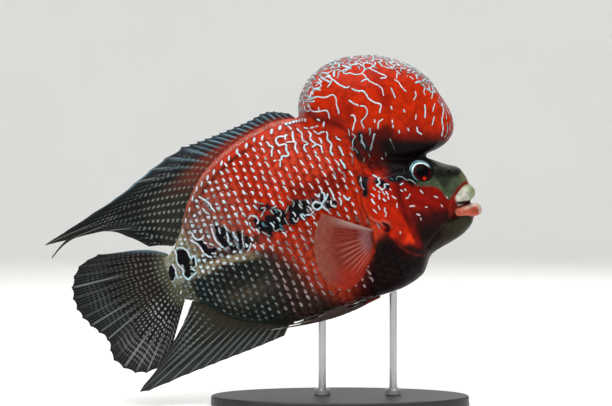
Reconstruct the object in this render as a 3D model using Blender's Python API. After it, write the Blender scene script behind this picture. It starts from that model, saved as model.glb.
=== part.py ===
"""A flowerhorn cichlid, nose to the right and a little raised, on a plain display stand.

The fish is drawn in its own frame in millimetres: x runs forward from the root of the tail fin,
y to its left and z up to its back. pose() bends the spine, pitches the fish nose up and sets it
over the stand, in metres with +Z up. The stand is drawn straight in metres.
"""

import math

import bmesh
import bpy
from mathutils import Matrix, Vector

MM = 0.001
GAP = 0.3  # kept between neighbouring pieces

# Pose: the root of the tail fin over the stand, the pitch of the spine and its sideways bend.
TAIL_ROOT = Vector((-98.0, 0.0, 79.7))
PITCH = math.radians(20)
BEND_FROM = 62.0  # the tail bends behind this station
TAIL_SWING = 12.0  # sideways, at TAIL_REACH behind it
TAIL_REACH = 128.0
NECK_FROM = 128.0  # and the head in front of this one
HEAD_SWING = 3.0
HEAD_REACH = 58.0

# Body outline: height of the back and belly, and half of the width, along the spine.
TAIL_END = -3.0
SNOUT_END = 186.0
BACK = ((-3, 15.6), (6, 22.5), (17.5, 39), (35, 54.8), (60, 65.5), (85, 69.3), (108, 64), (124, 51.5),
        (142, 34), (161, 22.6), (177, 10), (184, 5), (186, -1))
BELLY = ((-3, -14.5), (7, -19.5), (19.5, -33.2), (37, -43.2), (60, -51.6), (95, -53.2), (124, -54.4),
         (140, -50.6), (150.5, -40.3), (171, -36), (180.5, -30.5), (186, -14))
HALF_WIDTH = ((-3, 1.3), (5, 4.8), (25, 11), (60, 20.5), (100, 26), (130, 26.5), (150, 24.5),
              (165, 20.5), (177, 14.5), (184, 8.8), (186, 5))
WIDEST = ((-3, 0), (60, 5), (100, 3), (140, -4), (165, -8), (186, -9))
FULLNESS_ABOVE = ((-3, 1.8), (100, 1.85), (140, 2.3), (186, 2.3))
FULLNESS_BELOW = ((-3, 1.8), (60, 2.0), (110, 2.15), (186, 2.2))
STATIONS = 44
RING = 28

# Lines that part the body, seen from the side, from top to bottom.
SHOULDER_LINE = ((120, 90), (123, 52), (128.5, 25), (123.5, 12), (121.5, 0), (125, -12), (131, -25),
                 (138, -35.5), (147, -40), (158, -41), (170, -90))
TAIL_LINE = ((24, 90), (24, 10), (20, -10), (20, -90))
JAW_LINE = ((141, -60), (147, -37), (155, -29), (166, -22.8), (174.5, -17.8))
MOUTH_TOP = (196, -16.6)
MOUTH_BOTTOM = (196, -20.4)

# Nuchal hump: an egg over the brow, leaning forward.
HUMP_CENTRE = Vector((147.0, 0.0, 52.0))
HUMP_RADII = (49.0, 26.0, 37.0)
HUMP_LEAN = math.radians(34)
HUMP_FULLNESS = 2.06
HUMP_SHOULDER = (math.radians(38), math.radians(20))  # middle and spread of its flatter front shoulder
HUMP_SHOULDER_DEPTH = 0.07
HUMP_FLOOR = 18.0  # its underside ahead of the brow
HUMP_SOFTNESS = 5.0

# Head.
EYE = (160.3, 10.6)
EYE_RADII = (8.4, 3.9, 8.4)
EYE_PROUD = 1.9
ORBIT_RADIUS = 8.6
ORBIT_TUBE = 1.0
NOSTRIL = (176.0, 3.5)
NOSTRIL_RADIUS = 1.3
LIP_BACK = 173.5
LIP_HALF_WIDTH = 16.0
UPPER_LIP = {"reach": 10.8, "corner": -14.8, "front": -11.6, "thick": 4.7}
LOWER_LIP = {"reach": 11.6, "corner": -20.8, "front": -23.4, "thick": 4.0}
LIP_CORNER_THICK = 2.1
OPERCLE_REAR = ((-37, 136.5), (-30, 130), (-20, 125.5), (-5, 119.8), (4, 119.3), (12, 121.3), (17, 124.5))
OPERCLE_FRONT = ((-37, 139.5), (-28, 138), (-10, 142), (5, 144), (17, 146.5))
OPERCLE_TOP = 16.5
OPERCLE_BOTTOM = -36.5
OPERCLE_THICK = 1.5

# Fins. Rays are ridges in the membrane.
RAY_ROOT = 1.8
RAY_TIP = 0.7
MEMBRANE = 0.6
NOTCH = 0.035  # how far the edge falls back between two rays
DORSAL_RAYS = 28
DORSAL_BASE = (100.0, 1.5)
DORSAL_SPINES = ((96.5, 72.4), (84, 77.9), (71, 76.4), (57, 75.6), (42, 75.2), (27, 75.4))
DORSAL_SOFT = ((15, 72.2), (4, 68.4), (-8, 63.9), (-22, 58.9), (-38, 54.9), (-55, 50.6), (-71.5, 46.6),
               (-57, 44.6), (-45, 43.8), (-33.5, 41.8), (-23, 34.6), (-12.5, 24.0))
ANAL_RAYS = 17
ANAL_BASE = (53.0, 1.0)
ANAL_TIPS = ((47, -56.5), (27, -57.3), (6, -57.6), (-16, -58), (-46.8, -58.3), (-34, -49), (-10, -30.5))
CAUDAL_RAYS = 19
CAUDAL_ROOT_HEIGHT = (16.0, -15.0)
CAUDAL_TIPS = ((-43, 30.3), (-57, 27.3), (-65.5, 16.5), (-67.1, 3), (-62.5, -9.5), (-55.5, -21), (-55.5, -34),
               (-46, -45.8), (-33, -48), (-19.5, -38))
CAUDAL_ARCH = 18.0  # upward bow of the uppermost rays
CAUDAL_WAVE = 4.0
PECTORAL_RAYS = 14
PECTORAL_ROOT = ((120.0, -12.5), (117.0, -25.0))
PECTORAL_TIPS = ((94, 7.5), (85, -4.5), (80.8, -19.5), (83, -33), (92.5, -41), (103, -38.5))
PECTORAL_SPREAD = math.tan(math.radians(21))
PELVIC_RAYS = 6
PELVIC_ROOT = ((111.0, 7.0, -53.4), (104.0, 9.5, -52.4))
PELVIC_TIPS = ((40.2, 7.5, -49.6), (57, 9.5, -52.2), (73, 11.5, -51.6), (86, 13.2, -49.5))
PELVIC_SAG = 3.0

# Stand.
BASE_LENGTH = 160.0
BASE_WIDTH = 76.0
BASE_THICK = 6.0
BASE_EDGE = 1.5
ROD_RADIUS = 2.4
ROD_SIDES = 20
RODS = {"front": (33.0, 73.0), "rear": (-11.0, 57.0)}  # place along the base, and height of the top
COLLAR_RADIUS = 5.0
COLLAR_HEIGHT = 4.0


def smooth(points, x):
    """Height at x of a curve through the points that never overshoots them."""
    if x <= points[0][0]:
        return points[0][1]
    if x >= points[-1][0]:
        return points[-1][1]
    slopes = [(b[1] - a[1]) / (b[0] - a[0]) for a, b in zip(points, points[1:])]
    i = max(k for k in range(len(slopes)) if points[k][0] <= x)

    def tangent(k):
        if k == 0 or k == len(slopes):
            return slopes[min(k, len(slopes) - 1)]
        before, after = slopes[k - 1], slopes[k]
        return 2 * before * after / (before + after) if before * after > 0 else 0.0

    (x0, z0), (x1, z1) = points[i], points[i + 1]
    span = x1 - x0
    t = (x - x0) / span
    return (z0 * (1 + 2 * t) * (1 - t) ** 2 + z1 * t * t * (3 - 2 * t)
            + span * t * (1 - t) * (tangent(i) * (1 - t) - tangent(i + 1) * t))


def along(points, t):
    """Point at t, from 0 to 1, on a rounded line through evenly spaced points."""
    points = [Vector(p) for p in points]
    place = t * (len(points) - 1)
    i = min(int(place), len(points) - 2)
    f = place - i
    before = points[i - 1] if i > 0 else 2 * points[0] - points[1]
    after = points[i + 2] if i + 2 < len(points) else 2 * points[-1] - points[-2]
    a, b = points[i], points[i + 1]
    return 0.5 * ((2 * a) + (b - before) * f + (2 * before - 5 * a + 4 * b - after) * f ** 2
                  + (3 * a - before - 3 * b + after) * f ** 3)


def pose(p):
    """Fish frame in millimetres to the stand's frame in metres."""
    tail = max(0.0, BEND_FROM - p.x) / TAIL_REACH
    head = max(0.0, p.x - NECK_FROM) / HEAD_REACH
    bent = p.y - TAIL_SWING * tail ** 2 - HEAD_SWING * head ** 2
    x = p.x * math.cos(PITCH) - p.z * math.sin(PITCH)
    z = p.x * math.sin(PITCH) + p.z * math.cos(PITCH)
    return (TAIL_ROOT + Vector((x, bent, z))) * MM


def metres(p):
    """The stand is drawn in place, so only its unit changes."""
    return p * MM


def body_point(x, angle, grow=0.0):
    """Point of the body's cross-section at x, with the angle measured up from its left side."""
    c, s = math.cos(angle), math.sin(angle)
    middle = smooth(WIDEST, x)
    if s >= 0:
        fullness, height = smooth(FULLNESS_ABOVE, x), smooth(BACK, x) + grow - middle
    else:
        fullness, height = smooth(FULLNESS_BELOW, x), middle - smooth(BELLY, x) + grow
    y = (smooth(HALF_WIDTH, x) + grow) * math.copysign(abs(c) ** (2 / fullness), c)
    return Vector((x, y, middle + height * math.copysign(abs(s) ** (2 / fullness), s)))


def side_width(x, z):
    """Half of the body's width at station x and height z."""
    middle = smooth(WIDEST, x)
    if z >= middle:
        fullness, share = smooth(FULLNESS_ABOVE, x), (z - middle) / (smooth(BACK, x) - middle)
    else:
        fullness, share = smooth(FULLNESS_BELOW, x), (middle - z) / (middle - smooth(BELLY, x))
    return smooth(HALF_WIDTH, x) * max(0.0, 1 - share ** fullness) ** (1 / fullness)


def side_normal(x, z, side):
    """Outward normal of the body at x and z; side is 1 on its left and -1 on its right."""
    step = 0.5
    along_x = (side_width(x + step, z) - side_width(x - step, z)) / (2 * step)
    along_z = (side_width(x, z + step) - side_width(x, z - step)) / (2 * step)
    return Vector((-along_x, side, -along_z)).normalized()


def side_point(x, z, side, lift=0.0):
    """Point on the body's side, lifted off it along its normal."""
    return Vector((x, side * side_width(x, z), z)) + side_normal(x, z, side) * lift


def grid(columns, rows, place):
    """Sheet of quads with the corner of each column and row at place(column, row)."""
    bm = bmesh.new()
    bmesh.ops.create_grid(bm, x_segments=columns, y_segments=rows, size=1.0)
    for v in bm.verts:
        v.co = place(round((v.co.x + 1) / 2 * columns), round((v.co.y + 1) / 2 * rows))
    return bm


def tube(sides, rows, place):
    """Closed tube: a sheet whose first and last columns meet, with both ends filled."""
    bm = grid(sides, rows, place)
    bmesh.ops.remove_doubles(bm, verts=bm.verts, dist=1e-4)
    ends = [e for e in bm.edges if e.is_boundary]
    bmesh.ops.holes_fill(bm, edges=ends, sides=0)
    return bm


def plate(columns, rows, place, half_thickness):
    """Thin curved plate: a triangulated sheet, doubled, with each copy moved off to its own side."""
    bm = grid(columns, rows, place)
    lift = bm.verts.layers.float_vector.new("lift")
    bm.normal_update()
    bm.verts.ensure_lookup_table()
    wide = columns + 1
    for index, v in enumerate(bm.verts):
        v[lift] = v.normal * half_thickness(index % wide, index // wide)
    bmesh.ops.triangulate(bm, faces=bm.faces)
    below = list(bm.verts)
    bmesh.ops.extrude_face_region(bm, geom=bm.faces[:])
    count = len(below)
    bm.verts.ensure_lookup_table()
    for index, v in enumerate(bm.verts):
        v.co += v[lift] * (1 if index >= count else -1)
    return bm


def prism(outline, reach=90.0):
    """Block with the given outline, seen from the side, that runs right through the body."""
    bm = bmesh.new()
    corners = [bm.verts.new((x, -reach, z)) for x, z in outline]
    face = bm.faces.new(corners)
    moved = bmesh.ops.extrude_face_region(bm, geom=[face])["geom"]
    for v in moved:
        if isinstance(v, bmesh.types.BMVert):
            v.co.y = reach
    return bm


def ball(centre, radii, axes=Matrix.Identity(3), segments=18, rings=10):
    """Ellipsoid with its half axes along the columns of axes."""
    bm = bmesh.new()
    bmesh.ops.create_uvsphere(bm, u_segments=segments, v_segments=rings, radius=1.0)
    for v in bm.verts:
        v.co = centre + axes @ Vector((v.co.x * radii[0], v.co.y * radii[1], v.co.z * radii[2]))
    return bm


def shifted(line, distance):
    """The line moved sideways by the distance, to the left as one walks along it."""
    moved = []
    for i, (x, z) in enumerate(line):
        before = Vector(line[max(i - 1, 0)])
        after = Vector(line[min(i + 1, len(line) - 1)])
        way = (after - before).normalized()
        moved.append((x - way.y * distance, z + way.x * distance))
    return moved


def make(name, bm, place=pose):
    """Object of the mesh, with its faces pointing out, put in its place in metres."""
    bm.normal_update()
    bmesh.ops.recalc_face_normals(bm, faces=bm.faces)
    for v in bm.verts:
        v.co = place(v.co)
    mesh = bpy.data.meshes.new(name)
    bm.to_mesh(mesh)
    bm.free()
    obj = bpy.data.objects.new(name, mesh)
    bpy.context.scene.collection.objects.link(obj)
    return obj


def combine(obj, operation, tools, solver="EXACT"):
    """Apply one Boolean of the tools to obj, remove them and keep its largest closed surface."""
    group = bpy.data.collections.new("tools")
    bpy.context.scene.collection.children.link(group)
    for tool in tools:
        group.objects.link(tool)
    step = obj.modifiers.new("combine", "BOOLEAN")
    step.operation = operation
    step.solver = solver
    step.operand_type = "COLLECTION"
    step.collection = group
    bpy.context.view_layer.update()
    result = obj.evaluated_get(bpy.context.evaluated_depsgraph_get())
    mesh = bpy.data.meshes.new_from_object(result)
    obj.modifiers.clear()
    obj.data = mesh
    for tool in tools:
        bpy.data.objects.remove(tool)
    bpy.data.collections.remove(group)
    keep_largest(obj)
    return obj


def keep_largest(obj):
    """Drop every closed surface of obj but the largest."""
    bm = bmesh.new()
    bm.from_mesh(obj.data)
    left = set(bm.verts)
    shells = []
    while left:
        shell, todo = set(), [left.pop()]
        while todo:
            v = todo.pop()
            shell.add(v)
            for edge in v.link_edges:
                other = edge.other_vert(v)
                if other in left:
                    left.remove(other)
                    todo.append(other)
        shells.append(shell)
    shells.sort(key=size_of, reverse=True)
    for shell in shells[1:]:
        bmesh.ops.delete(bm, geom=list(shell), context="VERTS")
    bm.to_mesh(obj.data)
    bm.free()


def size_of(shell):
    """Sum of a shell's extents."""
    return sum(max(v.co[k] for v in shell) - min(v.co[k] for v in shell) for k in range(3))


def finish(obj, colour, roughness=0.4, metallic=0.0, angle=40):
    """Smooth shading and a material of its own."""
    material = bpy.data.materials.new(obj.name)
    material.use_nodes = True
    shader = material.node_tree.nodes["Principled BSDF"]
    shader.inputs["Base Color"].default_value = (*colour, 1.0)
    shader.inputs["Roughness"].default_value = roughness
    shader.inputs["Metallic"].default_value = metallic
    obj.data.materials.clear()
    obj.data.materials.append(material)
    obj.data.shade_smooth()
    obj.data.set_sharp_from_angle(angle=math.radians(angle))


def body(grow=0.0):
    """The whole body from the root of the tail fin to the snout."""
    length = SNOUT_END - TAIL_END

    def place(column, row):
        share = row / STATIONS
        eased = 0.4 * share + 0.6 * (1 - math.cos(math.pi * share)) / 2
        return body_point(TAIL_END + length * eased, 2 * math.pi * column / RING, grow)

    return tube(RING, STATIONS, place)


def hump():
    """The nuchal hump, flattened under its front."""
    bm = bmesh.new()
    bmesh.ops.create_uvsphere(bm, u_segments=32, v_segments=20, radius=1.0)
    lean = Matrix.Rotation(HUMP_LEAN, 3, "Y")
    power = 2 / HUMP_FULLNESS
    for v in bm.verts:
        flat = math.hypot(v.co.x, v.co.z)
        squared = Vector((v.co.x, math.copysign(abs(v.co.y) ** power, v.co.y), v.co.z))
        if flat > 0:
            off = (math.atan2(v.co.z, v.co.x) - HUMP_SHOULDER[0]) / HUMP_SHOULDER[1]
            grow = flat ** power / flat * (1 - HUMP_SHOULDER_DEPTH * math.exp(-off ** 2))
            squared.x *= grow
            squared.z *= grow
        reach = Vector(a * b for a, b in zip(squared, HUMP_RADII))
        spot = HUMP_CENTRE + lean @ reach
        spot.z = soft_floor(spot.z, HUMP_FLOOR, HUMP_SOFTNESS)
        v.co = spot
    return bm


def soft_floor(z, floor, softness):
    """z, held above the floor with a rounded turn."""
    rise = (z - floor) / softness
    if rise > 30:
        return z
    return floor + softness * math.log1p(math.exp(rise))


def eye_frame(side):
    """Axes of an eye, with the second one pointing out of the head."""
    out = side_normal(*EYE, side)
    up = (Vector((0, 0, 1)) - out * out.z).normalized()
    return Matrix((out.cross(up), out, up)).transposed()


def eye_centre(side):
    return side_point(*EYE, side, EYE_PROUD - EYE_RADII[1])


def eye(side, grow=0.0):
    radii = [r + grow for r in EYE_RADII]
    return ball(eye_centre(side), radii, eye_frame(side))


def orbit(side, grow=0.0):
    """The raised rim round an eye."""
    axes = eye_frame(side)
    centre = side_point(*EYE, side, 0.2)

    def place(column, row):
        turn = 2 * math.pi * column / 24
        roll = 2 * math.pi * row / 8
        reach = ORBIT_RADIUS + (ORBIT_TUBE + grow) * math.cos(roll)
        lift = (ORBIT_TUBE + grow) * math.sin(roll)
        return centre + axes @ Vector((reach * math.cos(turn), lift, reach * math.sin(turn)))

    bm = grid(24, 8, place)
    bmesh.ops.remove_doubles(bm, verts=bm.verts, dist=1e-4)
    return bm


def lip(shape):
    """A lip: a tube bent round the mouth, thickest at the front."""
    turns = 16

    def place(column, row):
        turn = math.pi * (row / turns - 0.5)
        forward = math.cos(turn)
        centre = Vector((LIP_BACK + shape["reach"] * forward, LIP_HALF_WIDTH * math.sin(turn),
                         shape["corner"] + (shape["front"] - shape["corner"]) * forward))
        way = Vector((-shape["reach"] * math.sin(turn), LIP_HALF_WIDTH * forward, 0)).normalized()
        out = way.cross(Vector((0, 0, 1)))
        thick = LIP_CORNER_THICK + (shape["thick"] - LIP_CORNER_THICK) * forward
        roll = 2 * math.pi * column / 10
        return centre + out * (thick * 0.85 * math.cos(roll)) + Vector((0, 0, thick * math.sin(roll)))

    return tube(10, turns, place)


def gill_cover(side):
    """The plate over the gills, bent to the head and a little proud of it."""
    columns, rows = 7, 11

    def place(column, row):
        z = OPERCLE_BOTTOM + (OPERCLE_TOP - OPERCLE_BOTTOM) * row / rows
        rear = smooth(OPERCLE_REAR, z)
        front = smooth(OPERCLE_FRONT, z)
        return side_point(rear + (front - rear) * column / columns, z, side, GAP + OPERCLE_THICK / 2)

    def half(column, row):
        rim = min(column, columns - column, row, rows - row)
        return OPERCLE_THICK * (0.5 if rim else 0.28)

    return plate(columns, rows, place, half)


def fin(rays, rows, ray):
    """Fin of rays and membranes, where ray(i, u) runs along ray i from its root to its tip."""

    def place(column, row):
        u = row / rows
        if column % 2 == 0:
            return ray(column // 2, u)
        short = u * (1 - NOTCH)
        return (ray(column // 2, short) + ray(column // 2 + 1, short)) / 2

    def half(column, row):
        if column % 2:
            return MEMBRANE / 2
        return (RAY_ROOT + (RAY_TIP - RAY_ROOT) * row / rows) / 2

    return plate(2 * (rays - 1), rows, place, half)


def dorsal_fin():
    spines = len(DORSAL_SPINES) * 3 - 2

    def ray(i, u):
        share = i / (DORSAL_RAYS - 1)
        x = DORSAL_BASE[0] + (DORSAL_BASE[1] - DORSAL_BASE[0]) * share
        if i < spines:
            tip = along(DORSAL_SPINES, i / (spines - 1))
        else:
            tip = along(DORSAL_SOFT, (i - spines) / (DORSAL_RAYS - 1 - spines))
        root = Vector((x, 0, smooth(BACK, x) + GAP))
        end = Vector((tip.x, 0, tip.y))
        spot = root.lerp(end, u)
        length = (end - root).length
        spot.z += 0.09 * length * u * (1 - u) * 4 * 0.5
        spot.y = 0.03 * length * u * math.sin(0.9 * i)
        return spot

    return fin(DORSAL_RAYS, 7, ray)


def anal_fin():
    def ray(i, u):
        share = i / (ANAL_RAYS - 1)
        x = ANAL_BASE[0] + (ANAL_BASE[1] - ANAL_BASE[0]) * share
        tip = along(ANAL_TIPS, share)
        root = Vector((x, 0, smooth(BELLY, x) - GAP))
        spot = root.lerp(Vector((tip.x, 0, tip.y)), u)
        spot.y = -u * (1.5 + 3.5 * share)
        return spot

    return fin(ANAL_RAYS, 7, ray)


def caudal_fin():
    def ray(i, u):
        share = i / (CAUDAL_RAYS - 1)
        z = CAUDAL_ROOT_HEIGHT[0] + (CAUDAL_ROOT_HEIGHT[1] - CAUDAL_ROOT_HEIGHT[0]) * share
        tip = along(CAUDAL_TIPS, share)
        root = Vector((TAIL_END - GAP, 0, z))
        spot = root.lerp(Vector((tip.x, 0, tip.y)), u)
        spot.y = CAUDAL_WAVE * u * u * math.sin(2 * math.pi * share)
        spot.z += CAUDAL_ARCH * u * (1 - u) ** 2 * max(0.0, 1 - 4 * share)
        return spot

    return fin(CAUDAL_RAYS, 9, ray)


def pectoral_fin(side):
    def ray(i, u):
        share = i / (PECTORAL_RAYS - 1)
        start = Vector(PECTORAL_ROOT[0]).lerp(Vector(PECTORAL_ROOT[1]), share)
        root = side_point(start.x, start.y, side, GAP + RAY_ROOT / 2)
        tip = along(PECTORAL_TIPS, share)
        end = Vector((tip.x, root.y, tip.y))
        out = (end - root).length * u * PECTORAL_SPREAD
        spot = root.lerp(end, u)
        spot.y += side * out * (1 - 0.25 * u)
        return spot

    return fin(PECTORAL_RAYS, 6, ray)


def pelvic_fin(side):
    def ray(i, u):
        share = i / (PELVIC_RAYS - 1)
        root = Vector(PELVIC_ROOT[0]).lerp(Vector(PELVIC_ROOT[1]), share)
        spot = root.lerp(along(PELVIC_TIPS, share), u)
        spot.z -= PELVIC_SAG * 4 * u * (1 - u)
        spot.y *= side
        return spot

    return fin(PELVIC_RAYS, 9, ray)


def region(line, ahead):
    """Block of all that lies ahead of a parting line, or else behind it."""
    x_far = 260 if ahead else -120
    return prism([*line, (x_far, line[-1][1]), (x_far, line[0][1])])


def body_nodes():
    """Trunk, tail stalk, head and lower jaw, parted by the lines."""
    half = GAP / 2
    trunk = make("trunk", body())
    combine(trunk, "DIFFERENCE", [make("ahead", region(shifted(SHOULDER_LINE, -half), True))])
    combine(trunk, "DIFFERENCE", [make("behind", region(shifted(TAIL_LINE, half), False))])
    finish(trunk, (0.62, 0.05, 0.02))

    stalk = make("tail_stalk", body())
    combine(stalk, "DIFFERENCE", [make("ahead", region(shifted(TAIL_LINE, -half), True))])
    finish(stalk, (0.2, 0.16, 0.12))

    opening = [*shifted(JAW_LINE, half), MOUTH_TOP, (196, -90), (JAW_LINE[0][0], -90)]
    head = make("head", body())
    combine(head, "DIFFERENCE", [make("behind", region(shifted(SHOULDER_LINE, half), False))])
    combine(head, "DIFFERENCE", [make("jaw_space", prism(opening))])
    combine(head, "UNION", [make("upper_lip", lip(UPPER_LIP)), *(make("rim", orbit(s)) for s in (1, -1))])
    pits = [make("socket", eye(s, GAP)) for s in (1, -1)]
    for side in (1, -1):
        pits.append(make("nostril", ball(side_point(*NOSTRIL, side), [NOSTRIL_RADIUS] * 3, segments=10, rings=6)))
    combine(head, "DIFFERENCE", pits)
    finish(head, (0.62, 0.07, 0.02))

    above = [*shifted(JAW_LINE, -half), MOUTH_BOTTOM, (196, 90), (JAW_LINE[0][0] - 40, 90),
             (JAW_LINE[0][0] - 40, JAW_LINE[0][1])]
    jaw = make("lower_jaw", body())
    combine(jaw, "DIFFERENCE", [make("behind", region(shifted(SHOULDER_LINE, half), False))])
    combine(jaw, "DIFFERENCE", [make("above", prism(above))])
    combine(jaw, "UNION", [make("lower_lip", lip(LOWER_LIP))])
    finish(jaw, (0.45, 0.24, 0.1))


def hump_node():
    """The hump, cut clear of the head and of the eyes' rims."""
    node = make("nuchal_hump", hump())
    tools = [make("body", body(GAP))]
    for side in (1, -1):
        tools.append(make("rim", ball(eye_centre(side), [ORBIT_RADIUS + ORBIT_TUBE + GAP] * 3)))
    combine(node, "DIFFERENCE", tools)
    finish(node, (0.6, 0.05, 0.02))


def paired_nodes():
    """Eyes, gill covers, pectoral and pelvic fins, on the left and the right."""
    for side, word in ((1, "left"), (-1, "right")):
        finish(make(f"eye_{word}", eye(side)), (0.12, 0.02, 0.02), 0.1)
        finish(make(f"gill_cover_{word}", gill_cover(side)), (0.7, 0.1, 0.03))
        finish(make(f"pectoral_fin_{word}", pectoral_fin(side)), (0.45, 0.2, 0.17), 0.5)
        finish(make(f"pelvic_fin_{word}", pelvic_fin(side)), (0.3, 0.28, 0.26), 0.5)


def median_fin_nodes():
    """Dorsal, anal and tail fins."""
    finish(make("dorsal_fin", dorsal_fin()), (0.09, 0.09, 0.09), 0.5)
    finish(make("anal_fin", anal_fin()), (0.12, 0.12, 0.11), 0.5)
    finish(make("caudal_fin", caudal_fin()), (0.08, 0.08, 0.08), 0.5)


def stand_base():
    """Oval plate with a bevelled upper edge."""
    bm = bmesh.new()
    bmesh.ops.create_cone(bm, cap_ends=True, segments=72, radius1=1.0, radius2=1.0, depth=1.0)
    for v in bm.verts:
        v.co = Vector((v.co.x * BASE_LENGTH / 2, v.co.y * BASE_WIDTH / 2, (v.co.z + 0.5) * BASE_THICK))
    rim = [e for e in bm.edges if all(v.co.z > BASE_THICK / 2 for v in e.verts)]
    bmesh.ops.bevel(bm, geom=rim, offset=BASE_EDGE, segments=3, profile=0.5, affect="EDGES")
    finish(make("stand_base", bm, metres), (0.03, 0.02, 0.015), 0.35)


def stand_rod(word, x, top):
    """Thin rod with a collar at its foot, hollowed at its tip to the belly above it."""
    low = BASE_THICK + GAP
    collar = low + COLLAR_HEIGHT
    profile = ((COLLAR_RADIUS, low), (COLLAR_RADIUS, collar - 1), (COLLAR_RADIUS - 1, collar),
               (ROD_RADIUS, collar), (ROD_RADIUS, top))

    def place(column, row):
        turn = 2 * math.pi * column / ROD_SIDES
        radius, z = profile[row]
        return Vector((x + radius * math.cos(turn), radius * math.sin(turn), z))

    rod = make(f"stand_rod_{word}", tube(ROD_SIDES, len(profile) - 1, place), metres)
    combine(rod, "DIFFERENCE", [make("belly", body(GAP))])
    finish(rod, (0.5, 0.5, 0.5), 0.3, 0.9)


def main():
    for obj in list(bpy.data.objects):
        bpy.data.objects.remove(obj)
    body_nodes()
    hump_node()
    paired_nodes()
    median_fin_nodes()
    stand_base()
    for word, (x, top) in RODS.items():
        stand_rod(word, x, top)


main()
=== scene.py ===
"""Looks of the flowerhorn cichlid model: skin, scales, pearl markings, eyes, fins, stand and stage.

The fish is drawn in its own frame in millimetres, as the solids are: x forward along the spine, y to
its left, z to its back. pose() sets it over the stand in metres. side is 1 on its left, -1 on its right.
"""

import math

import bmesh
import bpy
import numpy as np
from mathutils import Matrix, Vector
from mathutils.bvhtree import BVHTree


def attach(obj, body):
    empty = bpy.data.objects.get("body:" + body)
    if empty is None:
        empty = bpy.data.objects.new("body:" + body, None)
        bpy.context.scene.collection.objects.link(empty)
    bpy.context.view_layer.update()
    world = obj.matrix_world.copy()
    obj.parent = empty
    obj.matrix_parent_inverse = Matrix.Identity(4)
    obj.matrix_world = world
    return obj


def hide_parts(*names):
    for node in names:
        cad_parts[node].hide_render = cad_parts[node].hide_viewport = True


bl_info = {
    "name": "Flowerhorn cichlid model",
    "version": (1, 0, 0),
    "blender": (4, 5, 0),
    "location": "3D View > Sidebar > Fish",
    "description": "Skin, scales, pearl markings, fins, eyes and stage of a flowerhorn cichlid on a stand",
    "category": "Object",
}

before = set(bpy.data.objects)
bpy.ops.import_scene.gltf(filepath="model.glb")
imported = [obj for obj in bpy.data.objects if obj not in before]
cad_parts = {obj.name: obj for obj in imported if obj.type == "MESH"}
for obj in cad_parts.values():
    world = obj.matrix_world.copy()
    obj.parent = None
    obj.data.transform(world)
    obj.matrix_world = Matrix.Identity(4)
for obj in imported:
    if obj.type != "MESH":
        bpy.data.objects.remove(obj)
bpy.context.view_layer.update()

MM = 0.001
GAP = 0.3

# Pose of the fish over its stand.
TAIL_ROOT = np.array((-98.0, 0.0, 79.7))
PITCH = math.radians(20)
BEND_FROM = 62.0
TAIL_SWING = 12.0
TAIL_REACH = 128.0
NECK_FROM = 128.0
HEAD_SWING = 3.0
HEAD_REACH = 58.0

# Outline of the body and its cross-sections.
TAIL_END = -3.0
SNOUT_END = 186.0
BACK = ((-3, 15.6), (6, 22.5), (17.5, 39), (35, 54.8), (60, 65.5), (85, 69.3), (108, 64), (124, 51.5),
        (142, 34), (161, 22.6), (177, 10), (184, 5), (186, -1))
BELLY = ((-3, -14.5), (7, -19.5), (19.5, -33.2), (37, -43.2), (60, -51.6), (95, -53.2), (124, -54.4),
         (140, -50.6), (150.5, -40.3), (171, -36), (180.5, -30.5), (186, -14))
HALF_WIDTH = ((-3, 1.3), (5, 4.8), (25, 11), (60, 20.5), (100, 26), (130, 26.5), (150, 24.5),
              (165, 20.5), (177, 14.5), (184, 8.8), (186, 5))
WIDEST = ((-3, 0), (60, 5), (100, 3), (140, -4), (165, -8), (186, -9))
FULLNESS_ABOVE = ((-3, 1.8), (100, 1.85), (140, 2.3), (186, 2.3))
FULLNESS_BELOW = ((-3, 1.8), (60, 2.0), (110, 2.15), (186, 2.2))
SHOULDER_LINE = ((-90, 170), (-41, 158), (-40, 147), (-35.5, 138), (-25, 131), (-12, 125), (0, 121.5),
                 (12, 123.5), (25, 128.5), (52, 123), (90, 120))

# Hump.
HUMP_CENTRE = np.array((147.0, 0.0, 52.0))
HUMP_RADII = np.array((49.0, 26.0, 37.0))
HUMP_LEAN = math.radians(34)
HUMP_FULLNESS = 2.06
HUMP_SHOULDER = (math.radians(38), math.radians(20), 0.07)
HUMP_FLOOR = 18.0
HUMP_SOFTNESS = 5.0

# Head.
EYE = (160.3, 10.6)
EYE_RADII = (8.4, 3.9, 8.4)
EYE_PROUD = 1.9
DISC = (-0.65, -1.25)
ORBIT_RADIUS = 8.6
ORBIT_TUBE = 1.0
NOSTRIL = (176.0, 3.5)
LIP_BACK = 173.5
LIP_HALF_WIDTH = 16.0
UPPER_LIP = {"reach": 10.8, "corner": -14.8, "front": -11.6, "thick": 4.7}
LOWER_LIP = {"reach": 11.6, "corner": -20.8, "front": -23.4, "thick": 4.0}
LIP_CORNER_THICK = 2.1
LIP_CORNER_SWELL = 0.35
COVER_REAR = ((-37, 136.5), (-32, 131.6), (-26, 128.6), (-19.6, 128.0), (-14.3, 130.3), (-11, 125.6),
              (-8, 121.9), (-5, 119.9), (4, 119.3), (12, 121.3), (17, 124.5))
COVER_FRONT = ((-37, 139.5), (-28, 138), (-10, 142), (5, 144), (17, 146.5))
COVER_TOP = 16.5
COVER_BOTTOM = -36.5

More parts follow.
